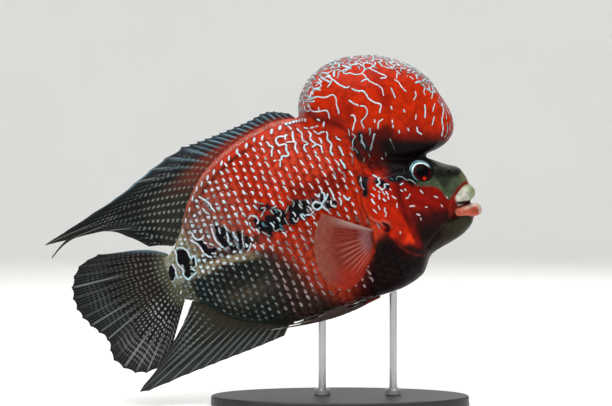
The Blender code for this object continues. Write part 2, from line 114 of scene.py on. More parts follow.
# Fins: numbers of rays, feet and tips as in the solids.
NOTCH = 0.035
DORSAL_RAYS = 28
SPINES = 16
DORSAL_BASE = (100.0, 1.5)
DORSAL_SPINES = ((96.5, 72.4), (84, 77.9), (71, 76.4), (57, 75.6), (42, 75.2), (27, 75.4))
DORSAL_SOFT = ((15, 72.2), (4, 68.4), (-8, 63.9), (-22, 58.9), (-38, 54.9), (-55, 50.6), (-71.5, 46.6),
               (-57, 44.6), (-45, 43.8), (-33.5, 41.8), (-23, 34.6), (-12.5, 24.0))
STREAMER = ((-52, 45.9), (-58, 44.4), (-63.5, 42.0), (-70.3, 37.6))
ANAL_RAYS = 17
ANAL_BASE = (53.0, 1.0)
ANAL_TIPS = ((47, -56.5), (27, -57.3), (6, -57.6), (-16, -58), (-46.8, -58.3), (-34, -49), (-10, -30.5))
CAUDAL_RAYS = 19
CAUDAL_FOOT = (16.0, -15.0)
CAUDAL_TIPS = ((-43, 30.3), (-57, 27.3), (-65.5, 16.5), (-67.1, 3), (-62.5, -9.5), (-55.5, -21), (-55.5, -34),
               (-46, -45.8), (-33, -48), (-19.5, -38))
CAUDAL_ARCH = 18.0
CAUDAL_WAVE = 4.0
PECTORAL_RAYS = 14
PECTORAL_FOOT = ((120.0, -12.5), (117.0, -25.0))
PECTORAL_TIPS = ((94, 7.5), (85, -4.5), (80.8, -19.5), (83, -33), (92.5, -41), (103, -38.5))
PECTORAL_SPREAD = math.tan(math.radians(21))
PELVIC_RAYS = 6
PELVIC_FOOT = ((111.0, 7.0, -53.4), (104.0, 9.5, -52.4))
PELVIC_TIPS = ((40.2, 7.5, -49.6), (57, 9.5, -52.2), (73, 11.5, -51.6), (86, 13.2, -49.5))
PELVIC_SAG = 3.0

# Place from which the markings below are drawn: along the fish, off its side and up.
EYE_POINT = np.array((87.75, 895.9, 16.2))

# Dark blotches, each a rounded bar seen from the side: both ends, and half of its width.
BLOTCHES = (
    (-3.7, 6.6, -6.1, 1.1, 1.9), (3.4, 14.7, 2.4, 8.1, 1.6), (6.9, 13.4, 5.1, 3.9, 2.2), (4.9, 3.5, 3.8, -1.6, 1.7),
    (11.0, 8.2, 9.6, 3.7, 1.0), (6.1, 1.7, 8.3, 0.2, 0.7), (14.7, 20.3, 16.6, 16.4, 0.6), (18.2, 15.8, 19.5, 9.3, 1.7),
    (19.5, 9.3, 24.4, 8.7, 1.4), (19.7, 7.2, 22.1, 6.1, 0.9), (30.6, 22.4, 30.1, 16.6, 1.1), (33.5, 19.0, 33.5, 15.3, 1.0),
    (30.3, 16.0, 32.1, 9.4, 1.9), (37.2, 14.4, 36.9, 9.9, 1.1), (34.5, 8.5, 35.1, 3.7, 1.0), (37.8, 7.3, 37.4, 3.7, 0.9),
    (42.4, 13.5, 41.5, 8.7, 1.2), (41.5, 8.7, 40.2, 3.6, 1.0), (45.6, 9.1, 44.2, 2.2, 1.0), (30.1, 38.3, 31.6, 33.6, 0.5),
    (54.9, 16.5, 56.0, 10.6, 1.3), (56.9, 13.0, 60.9, 8.8, 2.4), (63.4, 14.3, 66.7, 9.4, 2.9), (67.5, 9.1, 67.8, 6.2, 1.6),
    (67.7, 17.4, 69.3, 14.0, 1.7), (60.6, 8.0, 60.5, 5.2, 1.0), (60.3, 23.8, 60.0, 21.6, 0.8), (64.7, 23.1, 64.2, 20.5, 0.7),
    (72.1, 15.3, 70.6, 9.9, 1.5), (78.4, 16.3, 76.0, 8.4, 1.7), (81.9, 18.2, 79.9, 10.2, 1.8), (86.0, 16.8, 84.3, 9.5, 1.6),
    (88.2, 15.0, 89.3, 12.3, 1.0), (92.8, 12.4, 94.3, 11.9, 1.3), (92.6, 16.4, 92.2, 15.9, 0.6), (98.2, 17.7, 97.4, 14.4, 1.0),
    (99.2, 11.5, 100.3, 8.8, 1.1), (102.1, 14.6, 102.2, 10.9, 1.0), (103.7, 10.8, 104.9, 9.4, 1.1),
    (124.6, 18.9, 125.6, 13.4, 1.8), (125.9, 12.6, 123.6, 8.4, 1.0), (127.9, 17.8, 126.9, 13.9, 0.9),
    (134.6, 13.4, 138.5, 8.8, 1.7), (142.8, 12.1, 151.8, 10.4, 1.9), (133.6, 45.5, 133.0, 38.5, 1.2),
    (133.0, 38.5, 135.2, 34.0, 1.3), (127.6, 46.0, 128.4, 40.0, 0.6), (128.2, 36.5, 129.2, 31.0, 0.8),
)

# Where the bright back ends at the nape and the dark red ahead of it, partly painted shade under the hump, begins:
# height, and place along the fish.
NAPE_EDGE = ((13, 142.8), (17, 135.5), (26, 129.3), (32.2, 126.9), (38.6, 127.2), (47, 128.5))

# Pale outlines and flecks of the blotches: how bright, and the corners of each line.
BLOTCH_EDGES = (
    (0.95, ((27.1, 42.7), (28.9, 40.1), (31.4, 36.9), (32.0, 33.5), (33.2, 30.3))),
    (0.9, ((27.0, 34.8), (27.7, 31.8), (29.1, 30.4))), (1.0, ((27.7, 21.6), (27.6, 17.5), (27.5, 13.4), (28.8, 10.6), (30.2, 8.0))),
    (0.9, ((31.7, 19.7), (31.6, 16.7))), (0.9, ((35.5, 20.6), (36.6, 16.7))), (0.9, ((35.7, 15.5), (35.1, 12.0), (34.6, 9.9))),
    (0.95, ((39.3, 14.6), (39.7, 11.2), (40.4, 8.9))), (0.45, ((38.5, 8.0), (38.6, 4.2))),
    (0.5, ((45.3, 13.8), (43.5, 8.9), (42.6, 3.7))), (0.8, ((47.3, 4.3), (45.5, 1.7), (43.7, 0.5))),
    (1.0, ((15.2, 22.9), (15.6, 20.0), (17.0, 17.6), (20.2, 17.4), (21.6, 18.7))), (0.9, ((20.3, 14.6), (21.6, 13.7))),
    (0.9, ((23.3, 12.6), (25.2, 11.4))), (0.95, ((12.9, 19.1), (15.5, 15.9), (17.1, 12.7), (18.2, 8.2), (20.5, 5.5), (21.6, 4.8))),
    (0.9, ((22.8, 6.9), (24.8, 6.0))),
    (0.95, ((-0.9, 16.7), (1.7, 16.3), (1.8, 13.4), (0.5, 9.3), (1.6, 5.7), (2.7, 3.6), (1.8, 0.5), (3.4, -3.3), (5.5, -2.5),
            (9.4, -0.9))),
    (0.95, ((3.3, 16.8), (6.4, 16.4), (8.7, 13.7), (9.2, 10.8), (9.4, 8.1), (11.6, 9.2), (11.8, 6.6), (11.0, 3.1))),
    (0.9, ((7.7, 3.4), (8.9, 0.4))), (0.9, ((-2.6, 8.3), (-1.9, 5.1), (-2.6, 2.4), (-2.6, -0.5))),
    (1.0, ((95.3, 13.7), (93.2, 14.7), (91.4, 13.4), (91.1, 11.7), (92.2, 10.1), (94.6, 9.9), (96.3, 11.2), (96.3, 12.9),
           (95.3, 13.7))),
    (1.0, ((95.0, 19.3), (96.7, 16.8), (97.3, 18.4))), (1.0, ((99.2, 19.4), (100.3, 17.1), (99.4, 14.7))),
    (1.0, ((102.1, 16.9), (100.8, 14.6), (97.6, 13.0), (97.1, 10.4), (98.6, 7.3))), (1.0, ((104.5, 19.8), (105.1, 15.8), (105.1, 11.9))),
    (1.0, ((102.5, 12.1), (102.1, 9.5), (104.2, 7.6))), (0.9, ((108.0, 12.2), (108.7, 9.9), (107.7, 7.7))),
    (1.0, ((111.3, 12.4), (112.9, 9.1), (114.2, 10.2))), (0.9, ((85.6, 9.3), (87.6, 8.3), (90.4, 9.6))),
    (0.95, ((82.4, 10.7), (82.9, 8.2), (83.5, 6.6))), (0.9, ((83.6, 10.7), (84.5, 8.7))),
    (0.6, ((77.1, 10.1), (77.9, 7.2), (80.2, 8.9))), (0.35, ((72.2, 11.8), (72.6, 9.1), (73.2, 7.1))),
    (0.25, ((76.8, 18.0), (74.1, 14.6))), (0.35, ((79.9, 20.8), (80.8, 18.7), (79.6, 16.8))), (0.45, ((84.4, 18.7), (85.2, 15.9))),
    (0.4, ((70.0, 18.4), (71.5, 16.0), (70.2, 14.0))), (0.5, ((65.5, 19.6), (66.6, 16.7))), (0.45, ((67.0, 20.4), (70.0, 20.5))),
    (0.45, ((60.5, 26.1), (62.9, 24.5))), (0.7, ((57.0, 25.9), (58.2, 23.0))),
    (0.45, ((60.9, 22.7), (62.9, 21.9), (60.8, 19.4), (58.6, 17.7))),
    (0.8, ((51.4, 19.4), (53.1, 20.4), (56.1, 18.4), (56.6, 15.9), (55.1, 14.6))), (0.6, ((50.8, 16.6), (51.1, 13.7), (52.1, 11.0))),
    (0.35, ((63.5, 8.3), (64.4, 5.7), (66.8, 6.6), (68.4, 5.1))), (0.3, ((56.2, 8.6), (58.2, 6.5), (59.8, 4.5))),
    (0.5, ((87.1, 12.2), (87.6, 9.7))),
)

# Long pale lines on the side of the hump.
HUMP_LINES = (
    ((114.8, 77.9), (114.8, 80.0), (117.5, 80.8), (121.4, 80.8), (120.7, 83.8), (118.8, 84.2)),
    ((110.6, 76.0), (113.2, 75.7), (116.8, 75.8), (119.6, 74.1), (122.9, 73.6), (126.1, 73.5),
     (127.3, 71.3), (126.8, 67.9), (126.0, 62.7), (125.8, 61.3)),
    ((109.8, 70.0), (111.8, 67.8), (115.5, 66.6), (118.8, 66.0), (119.8, 63.9), (119.5, 60.5)),
    ((124.3, 84.9), (127.1, 85.0), (129.3, 82.4), (131.8, 78.7), (135.3, 75.0), (137.7, 74.8)),
    ((125.0, 79.1), (129.3, 82.4)),
    ((138.9, 73.3), (140.8, 70.9), (144.5, 69.5), (145.9, 66.6), (146.9, 62.7), (149.4, 59.8),
     (152.0, 57.4), (149.8, 53.3)),
    ((134.5, 66.9), (136.6, 64.0), (138.9, 61.8)),
    ((140.2, 61.4), (142.4, 59.8), (142.9, 56.5), (140.0, 53.4), (137.3, 51.6), (137.6, 47.6)),
    ((132.5, 57.5), (134.1, 57.3), (134.3, 54.8), (132.5, 51.9), (130.3, 48.5)),
    ((135.5, 86.8), (132.3, 87.6), (129.5, 87.6), (127.0, 86.7)),
    ((142.3, 84.7), (139.9, 85.5), (137.1, 85.5), (137.7, 83.5), (141.5, 82.2), (144.3, 80.4),
     (147.6, 79.9), (149.8, 81.2), (150.2, 83.2), (148.4, 85.9), (146.0, 87.1)),
    ((142.2, 88.2), (142.2, 86.1), (142.3, 84.7)),
    ((149.8, 81.2), (153.1, 81.5), (154.6, 79.9), (157.6, 76.7), (160.2, 74.3), (161.2, 72.2),
     (157.6, 72.8)),
    ((150.2, 83.2), (150.9, 85.0), (153.5, 84.5), (155.8, 83.2), (154.4, 81.3), (153.1, 81.5)),
    ((147.6, 79.9), (149.0, 78.0), (149.8, 75.3), (151.8, 72.1), (154.4, 69.8), (156.1, 66.7),
     (155.5, 62.4)),
    ((149.8, 75.3), (147.4, 75.5), (145.8, 75.0)),
    ((162.0, 79.2), (164.2, 77.4), (167.0, 76.7), (168.4, 77.6)),
    ((168.3, 72.4), (166.8, 69.4)),
    ((165.3, 69.0), (167.1, 67.3), (168.1, 63.4), (169.7, 60.0)),
    ((161.7, 65.0), (161.9, 61.5), (161.8, 58.4)),
    ((174.8, 57.8), (174.4, 55.5), (172.2, 53.5)),
    ((180.9, 60.1), (181.2, 57.9), (179.7, 55.7), (179.7, 53.9)),
    ((177.6, 48.1), (176.5, 44.3), (174.9, 40.7)),
    ((183.4, 46.7), (180.9, 42.7)),
    ((180.4, 39.4), (177.6, 34.8)),
    ((185.4, 57.1), (184.9, 53.8), (182.9, 50.3)),
    ((187.7, 45.1), (187.0, 40.5), (184.3, 35.9), (183.1, 30.7), (180.9, 26.6)),
    ((170.6, 44.3), (169.3, 41.7)),
    ((168.2, 36.8), (167.8, 33.8), (169.6, 31.8)),
    ((145.5, 44.4), (147.5, 47.9), (150.2, 48.6)),
    ((140.9, 46.1), (139.6, 42.7)),
    ((134.6, 44.2), (133.6, 40.4), (134.0, 36.7)),
    ((142.2, 42.1), (139.0, 37.0), (136.7, 33.6)),
    ((150.4, 35.6), (150.2, 32.2), (150.6, 28.6)),
    ((145.1, 28.8), (144.6, 26.6)),
)
HUMP_DOTS = ((157.9, 53.5), (164.6, 49.0), (155.3, 45.4), (154.9, 42.4), (157.2, 38.0), (162.9, 37.4),
             (145.2, 49.4))
FACE_MARKS = (
    ((130.0, 10.9), (130.9, 9.0)), ((132.4, 7.7), (133.0, 6.5)), ((134.6, 6.9), (135.2, 4.2)),
    ((136.5, 5.7), (137.5, 3.6)), ((139.7, 6.8), (140.0, 5.7)), ((127.6, 7.7), (129.0, 5.4)),
    ((131.7, 5.4), (131.4, 3.0)), ((136.6, 2.4), (137.0, 1.1)), ((139.5, 2.1), (140.8, -0.4)),
    ((133.7, 2.2), (134.5, 0.4)), ((126.7, 4.5), (127.6, 1.1)), ((129.3, -0.8), (129.4, -3.3)),
    ((132.6, -3.5), (132.0, -5.3), (132.3, -7.1), (131.3, -8.5)), ((125.7, -1.7), (126.7, -4.6)),
    ((140.5, -3.3), (139.8, -5.9)), ((145.8, 3.6), (146.4, 2.6)), ((148.4, 3.4), (148.6, 2.3)),
    ((146.5, 6.9), (148.3, 7.2)), ((150.2, -0.5), (149.1, -1.6)), ((147.1, -2.4), (148.6, -2.5)),
    ((147.5, -7.8), (150.3, -8.4)), ((156.9, -0.7), (157.9, -2.8)), ((163.8, -7.3), (165.4, -8.6)),
    ((166.0, -13.6), (166.4, -14.8)), ((156.4, -11.6), (157.3, -12.0)), ((149.9, -13.8), (151.4, -15.1)),
    ((151.2, -16.8), (151.2, -18.1)), ((170.9, -9.9), (171.0, -11.1)), ((136.5, -20.5), (136.4, -21.5)),
    ((132.8, 18.4), (134.4, 16.1)), ((141.5, 26.4), (141.9, 25.7)),
    ((132.6, 11.7), (134.9, 12.4), (135.0, 14.8), (136.1, 15.0)),
    ((132.5, 11.5), (133.7, 9.8), (134.7, 7.9), (137.0, 8.6), (137.4, 10.4), (139.9, 9.5)),
)

# Fainter lines behind the eye and on the nape: how bright, and the corners of each line.
FAINT_LINES = (
    (0.5, ((145.3, 10.6), (146.6, 12.1), (149.3, 11.2), (150.9, 8.6), (153.1, 7.7))),
    (0.65, ((152.8, 8.1), (154.6, 6.2), (155.8, 4.0))), (0.25, ((137.9, 13.8), (141.1, 13.6), (143.3, 11.3))),
    (0.8, ((128.1, 50.2), (127.6, 46.4))), (0.7, ((129.3, 46.9), (130.3, 44.5), (128.4, 42.7), (127.4, 39.7), (126.3, 37.1))),
    (0.4, ((125.8, 39.9), (126.2, 36.7))), (0.4, ((127.8, 38.0), (128.5, 36.3), (128.2, 33.9))), (0.3, ((124.7, 33.1), (123.0, 29.0))),
    (0.5, ((116.0, 26.0), (116.0, 21.9))), (0.5, ((110.8, 29.8), (110.6, 25.2))),
    (0.55, ((134.4, 44.3), (133.2, 40.6), (133.5, 38.2), (134.2, 35.5))), (0.3, ((140.4, 46.7), (139.4, 42.3))),
    (0.4, ((142.9, 42.0), (139.1, 36.9), (137.5, 34.1), (136.3, 33.4))), (0.3, ((134.9, 31.6), (134.2, 29.1))),
    (0.3, ((131.0, 29.7), (129.6, 27.9))), (0.7, ((125.2, 19.6), (123.5, 16.9))), (0.7, ((125.2, 18.9), (124.0, 15.2), (124.6, 11.5))),
)

BACK_LIFT = 0.75

# Joined and wandering marks behind the hump, and the pearls along the foot of the back fin.
BACK_LINES = (
    ((89.2, 57.2), (89.8, 59.4), (91.4, 59.4), (88.6, 59.4), (85.3, 60.2), (83.3, 58.7), (83.7, 56.4),
     (84.5, 54.9), (88.7, 54.4), (87.8, 51.7), (87.7, 49.3), (88.0, 47.8)),
    ((95.0, 60.1), (94.0, 56.7), (94.1, 54.2), (94.6, 52.8), (93.1, 51.0), (93.0, 49.6), (93.6, 47.0)),
    ((89.1, 55.4), (91.3, 54.9), (93.6, 54.4)),
    ((98.3, 60.9), (99.0, 59.4), (100.2, 57.2), (99.2, 55.1), (99.4, 52.9), (101.4, 49.7), (99.5, 49.9),
     (98.1, 48.3), (98.7, 45.4)),
    ((104.4, 56.8), (105.2, 55.0), (103.9, 52.6), (104.7, 49.9), (105.9, 48.1), (103.3, 47.2)),
    ((105.9, 48.1), (107.9, 46.6), (108.5, 45.4), (108.1, 41.7)), ((109.2, 50.7), (109.6, 49.0), (109.6, 47.4)),
    ((108.0, 56.7), (108.8, 55.7), (110.1, 53.8), (112.0, 54.5), (113.8, 54.0)),
    ((115.0, 53.4), (115.2, 51.7), (114.0, 48.6), (114.4, 46.4), (114.8, 44.7), (113.0, 40.9), (113.4, 38.2)),
    ((119.8, 48.6), (120.2, 46.9), (121.4, 45.7)), ((119.0, 41.9), (119.2, 39.1), (119.5, 35.8)),
    ((116.9, 33.9), (117.5, 31.3), (117.9, 28.0)), ((102.8, 60.0), (104.8, 59.1)), ((106.8, 59.0), (108.8, 58.9)),
    ((110.1, 58.6), (111.3, 58.7)), ((115.7, 59.2), (114.5, 57.2)), ((112.5, 62.5), (113.3, 61.0)),
    ((77.9, 59.7), (78.7, 57.4), (80.3, 55.2), (78.8, 53.4), (77.9, 50.5)),
    ((88.2, 48.4), (86.9, 47.2), (83.8, 48.4), (82.8, 46.7), (81.3, 46.5)), ((81.4, 45.2), (80.5, 42.8)),
    ((78.1, 47.2), (79.3, 47.2)), ((82.8, 52.3), (83.2, 50.2)),
)
FOOT_PEARLS = ((105.3, 64.5), (103.8, 65.4), (101.8, 65.4), (99.5, 65.3), (97.4, 65.7), (95.2, 65.7), (93.0, 66.0),
               (88.6, 65.1), (82.8, 65.0), (76.1, 63.2), (71.0, 63.9), (65.1, 62.2), (58.5, 60.8), (52.4, 58.6),
               (47.0, 57.2), (40.8, 53.7), (35.9, 51.7), (31.2, 49.3), (27.1, 47.5), (22.8, 42.6), (18.6, 36.8),
               (14.2, 31.4), (10.0, 25.6))

# Creases of the head, seen from the side.
PREOPERCLE = ((146, 10), (144.3, 4.4), (142.6, -5.0), (142.8, -12.7), (143.6, -19.0), (145.0, -27.0))
GILL_FOLDS = (((122.0, -5.7), (124.0, -8.4), (127.0, -11.3), (127.6, -13.8)), ((128.4, -10.3), (131.8, -13.3), (132.5, -15.6)))
MOUTH_FOLD = ((182.9, -6.1), (177.7, -9.3), (174.0, -14.0), (171.0, -18.0), (169.8, -22.6))
SNOUT_EDGE = ((154.0, 4.6), (156.3, 2.6), (165.5, -1.3), (168.1, -3.8), (169.5, -6.8), (170.2, -10.6), (171.6, -12.2),
              (174.5, -11.2), (178.4, -7.5), (182.6, -5.5), (190, -4.0))
JAW_CREASE = ((148, -34), (156, -29), (166, -23.5), (172, -20.5))
HUMP_CREASE = ((108.9, 67.0), (111.4, 61.8), (119.3, 58.1), (124.6, 53.0), (128.0, 48.6), (133.5, 41))


def smooth(points, at):
    """Heights at the given places of a curve through the points that never overshoots them."""
    px, pz = np.array(points, float).T
    slope = np.diff(pz) / np.diff(px)
    tangent = np.concatenate(([slope[0]], np.zeros(len(px) - 2), [slope[-1]]))
    same = slope[:-1] * slope[1:] > 0
    total = np.where(same, slope[:-1] + slope[1:], 1.0)
    tangent[1:-1] = np.where(same, 2 * slope[:-1] * slope[1:] / total, 0.0)
    at = np.asarray(at, float)
    i = np.clip(np.searchsorted(px, at, side="right") - 1, 0, len(slope) - 1)
    span = px[i + 1] - px[i]
    t = np.clip((at - px[i]) / span, 0, 1)
    return (pz[i] * (1 + 2 * t) * (1 - t) ** 2 + pz[i + 1] * t * t * (3 - 2 * t)
            + span * t * (1 - t) * (tangent[i] * (1 - t) - tangent[i + 1] * t))


def along(points, t):
    """Points at t, from 0 to 1, on a rounded line through evenly spaced points."""
    points = np.array(points, float)
    place = np.clip(np.asarray(t, float), 0, 1) * (len(points) - 1)
    i = np.minimum(place.astype(int), len(points) - 2)
    f = (place - i)[..., None]
    padded = np.concatenate(([2 * points[0] - points[1]], points, [2 * points[-1] - points[-2]]))
    before, a, b, after = padded[i], padded[i + 1], padded[i + 2], padded[i + 3]
    return 0.5 * (2 * a + (b - before) * f + (2 * before - 5 * a + 4 * b - after) * f ** 2
                  + (3 * a - before - 3 * b + after) * f ** 3)


def pose(p):
    """Fish frame in millimetres to the stand's frame in metres, for an array of points."""
    x, y, z = p[..., 0], p[..., 1], p[..., 2]
    tail = np.maximum(0.0, BEND_FROM - x) / TAIL_REACH
    head = np.maximum(0.0, x - NECK_FROM) / HEAD_REACH
    bent = y - TAIL_SWING * tail ** 2 - HEAD_SWING * head ** 2
    forward = x * math.cos(PITCH) - z * math.sin(PITCH)
    high = x * math.sin(PITCH) + z * math.cos(PITCH)
    return (TAIL_ROOT + np.stack([forward, bent, high], -1)) * MM


def unit(v):
    return v / np.maximum(np.linalg.norm(v, axis=-1, keepdims=True), 1e-9)


def ramp(value, low, high):
    """0 below low, 1 above high and a smooth turn between; low may be the larger."""
    t = np.clip((np.asarray(value, float) - low) / (high - low), 0, 1)
    return t * t * (3 - 2 * t)


def scatter(*numbers):
    """Repeatable noise between 0 and 1 from one or more arrays of numbers."""
    total = sum(np.asarray(n, float) * k for n, k in zip(numbers, (12.9898, 78.233, 37.719, 9.151)))
    value = np.sin(total) * 43758.5453
    return value - np.floor(value)


def wander(x, z, size, seed):
    """Smooth repeatable noise from -1 to 1 over the side view, with lumps of this size."""
    a, b = np.asarray(x, float) / size, np.asarray(z, float) / size
    i, j = np.floor(a), np.floor(b)
    f, g = ramp(a - i, 0, 1), ramp(b - j, 0, 1)
    low = scatter(i, j, seed) * (1 - f) + scatter(i + 1, j, seed) * f
    high = scatter(i, j + 1, seed) * (1 - f) + scatter(i + 1, j + 1, seed) * f
    return 2 * (low * (1 - g) + high * g) - 1


def section(x, angle, grow=0.0):
    """Points of the body's cross-sections; the angle is measured up from its left side."""
    x, angle = np.broadcast_arrays(np.asarray(x, float), np.asarray(angle, float))
    c, s = np.cos(angle), np.sin(angle)
    middle = smooth(WIDEST, x)
    above = s >= 0
    fullness = np.where(above, smooth(FULLNESS_ABOVE, x), smooth(FULLNESS_BELOW, x))
    height = np.where(above, smooth(BACK, x) - middle, middle - smooth(BELLY, x)) + grow
    y = (smooth(HALF_WIDTH, x) + grow) * np.sign(c) * np.abs(c) ** (2 / fullness)
    return np.stack([x, y, middle + height * np.sign(s) * np.abs(s) ** (2 / fullness)], -1)


def side_width(x, z, grow=0.0):
    """Half of the body's width at stations x and heights z."""
    x, z = np.broadcast_arrays(np.asarray(x, float), np.asarray(z, float))
    middle = smooth(WIDEST, x)
    above = z >= middle
    fullness = np.where(above, smooth(FULLNESS_ABOVE, x), smooth(FULLNESS_BELOW, x))
    height = np.where(above, smooth(BACK, x) - middle, middle - smooth(BELLY, x)) + grow
    share = np.clip(np.abs(z - middle) / height, 0, 1)
    return (smooth(HALF_WIDTH, x) + grow) * np.maximum(0, 1 - share ** fullness) ** (1 / fullness)


def side_point(x, z, side, lift=0.0):
    """Points on the body's side, lifted off it along its normal."""
    x, z = np.broadcast_arrays(np.asarray(x, float), np.asarray(z, float))
    step = 0.5
    slope_x = (side_width(x + step, z) - side_width(x - step, z)) / (2 * step)
    slope_z = (side_width(x, z + step) - side_width(x, z - step)) / (2 * step)
    normal = unit(np.stack([-slope_x, np.full(x.shape, float(side)), -slope_z], -1))
    return np.stack([x, side * side_width(x, z), z], -1) + normal * np.asarray(lift)[..., None]


def line_distance(x, z, line):
    """Distance of points, seen from the side, from a line through the given corners."""
    best = np.full(np.shape(x), 1e9)
    for (x0, z0), (x1, z1) in zip(line, line[1:]):
        dx, dz = x1 - x0, z1 - z0
        t = np.clip(((x - x0) * dx + (z - z0) * dz) / (dx * dx + dz * dz), 0, 1)
        best = np.minimum(best, np.hypot(x - x0 - t * dx, z - z0 - t * dz))
    return best


def shoulder_cut(turn):
    """How much of its size the hump keeps where its front shoulder is flatter."""
    middle, spread, depth = HUMP_SHOULDER
    return 1 - depth * np.exp(-((turn - middle) / spread) ** 2)


def hump_reach(p):
    """Below 1 inside the hump's egg, 1 on it and above 1 outside."""
    q = p - HUMP_CENTRE
    c, s = math.cos(HUMP_LEAN), math.sin(HUMP_LEAN)
    ahead, high = (q[..., 0] * c - q[..., 2] * s) / HUMP_RADII[0], (q[..., 0] * s + q[..., 2] * c) / HUMP_RADII[2]
    across = np.hypot(ahead, high) / shoulder_cut(np.arctan2(high, ahead))
    return across ** HUMP_FULLNESS + np.abs(q[..., 1] / HUMP_RADII[1]) ** HUMP_FULLNESS


def hump_point(turn, rise, grow=0.0):
    """Point of the hump: turn goes round its outline from the front over the top, rise out of it to the left."""
    turn, rise = np.broadcast_arrays(np.asarray(turn, float), np.asarray(rise, float))
    power = 2 / HUMP_FULLNESS
    flat = np.abs(np.cos(rise)) ** power * shoulder_cut(turn)
    a = flat * np.cos(turn) * (HUMP_RADII[0] + grow)
    b = np.sign(rise) * np.abs(np.sin(rise)) ** power * (HUMP_RADII[1] + grow)
    c = flat * np.sin(turn) * (HUMP_RADII[2] + grow)
    lean_c, lean_s = math.cos(HUMP_LEAN), math.sin(HUMP_LEAN)
    x = HUMP_CENTRE[0] + a * lean_c + c * lean_s
    z = HUMP_CENTRE[2] - a * lean_s + c * lean_c
    floor = HUMP_FLOOR + HUMP_SOFTNESS * np.logaddexp(0, (z - HUMP_FLOOR) / HUMP_SOFTNESS)
    return np.stack([x, b, floor], -1)


def side_map(grow):
    """Points and normals of the body's left side by station and by share of the way from flank to ridge."""
    x = np.arange(TAIL_END, 172.0, 1.0)
    angle = np.linspace(-math.pi / 2, math.pi / 2, 241)
    points = section(x[:, None], angle[None, :], grow)
    run = np.concatenate((np.zeros((len(x), 1)), np.cumsum(np.linalg.norm(np.diff(points, axis=1), axis=2), 1)), 1)
    run -= run[:, 120:121]
    share = np.linspace(-1, 1, 161)
    mapped = np.empty((len(x), len(share), 3))
    for i in range(len(x)):
        reach = np.where(share < 0, -share * run[i, 0], share * run[i, -1])
        for k in range(3):
            mapped[i, :, k] = np.interp(reach, run[i], points[i, :, k])
    normal = unit(np.cross(np.gradient(mapped, axis=1), np.gradient(mapped, axis=0)))
    return {"x": x, "points": mapped, "normals": normal, "up": run[:, -1], "down": -run[:, 0]}


def on_side(table, x, s, side):
    """Points and normals at stations x and at arc lengths s up from the flank line."""
    place = np.clip(x - table["x"][0], 0, len(table["x"]) - 1.001)
    i = place.astype(int)
    f = (place - i)[..., None]
    reach = np.where(s >= 0, np.interp(x, table["x"], table["up"]), np.interp(x, table["x"], table["down"]))
    share = (np.clip(s / reach, -1, 1) + 1) * 80 * 0.99999
    j = share.astype(int)
    g = (share - j)[..., None]
    found = []
    for name in ("points", "normals"):
        t = table[name]
        value = ((t[i, j] * (1 - g) + t[i, j + 1] * g) * (1 - f)
                 + (t[i + 1, j] * (1 - g) + t[i + 1, j + 1] * g) * f)
        found.append(value * (1, side, 1))
    points = found[0]
    points[..., 0] = x
    return points, unit(found[1])


def linear(colour):
    """Linear colour from 0 to 255 values as seen on a screen."""
    c = np.array(colour, float) / 255
    return np.where(c <= 0.04045, c / 12.92, ((c + 0.055) / 1.055) ** 2.4)


def seen(p):
    """Place along and up the fish at which a point shows when looked at from the eye point."""
    grow = EYE_POINT[1] / (EYE_POINT[1] - np.abs(p[..., 1]))
    return EYE_POINT[0] + (p[..., 0] - EYE_POINT[0]) * grow, EYE_POINT[2] + (p[..., 2] - EYE_POINT[2]) * grow


def keep_blotches(mesh, p):
    """Distance from the blotches, and how much of a pale edge and of a dark halo they have."""
    x, z = seen(p)
    keep_number(mesh, "Blotch", blotch_distance(p))
    keep_number(mesh, "Edge", 0.4 * ramp(x, 50, 34) + 0.25 * ramp(x, 82, 90) * ramp(x, 120, 112))
    keep_number(mesh, "Halo", ramp(x, 22, 34) * ramp(x, 112, 96) + 0.7 * ramp(x, 118, 122))


def blotch_distance(p):
    """Signed distance from the dark blotches, below 0 inside."""
    x, z = seen(p)
    x, z = x + 0.5 * wander(x, z, 2.2, 1), z + 0.8 * wander(x, z, 2.2, 2)
    best = np.full(p.shape[:-1], 1e9)
    for x0, z0, x1, z1, half in BLOTCHES:
        best = np.minimum(best, line_distance(x, z, ((x0, z0), (x1, z1))) - half)
    return best


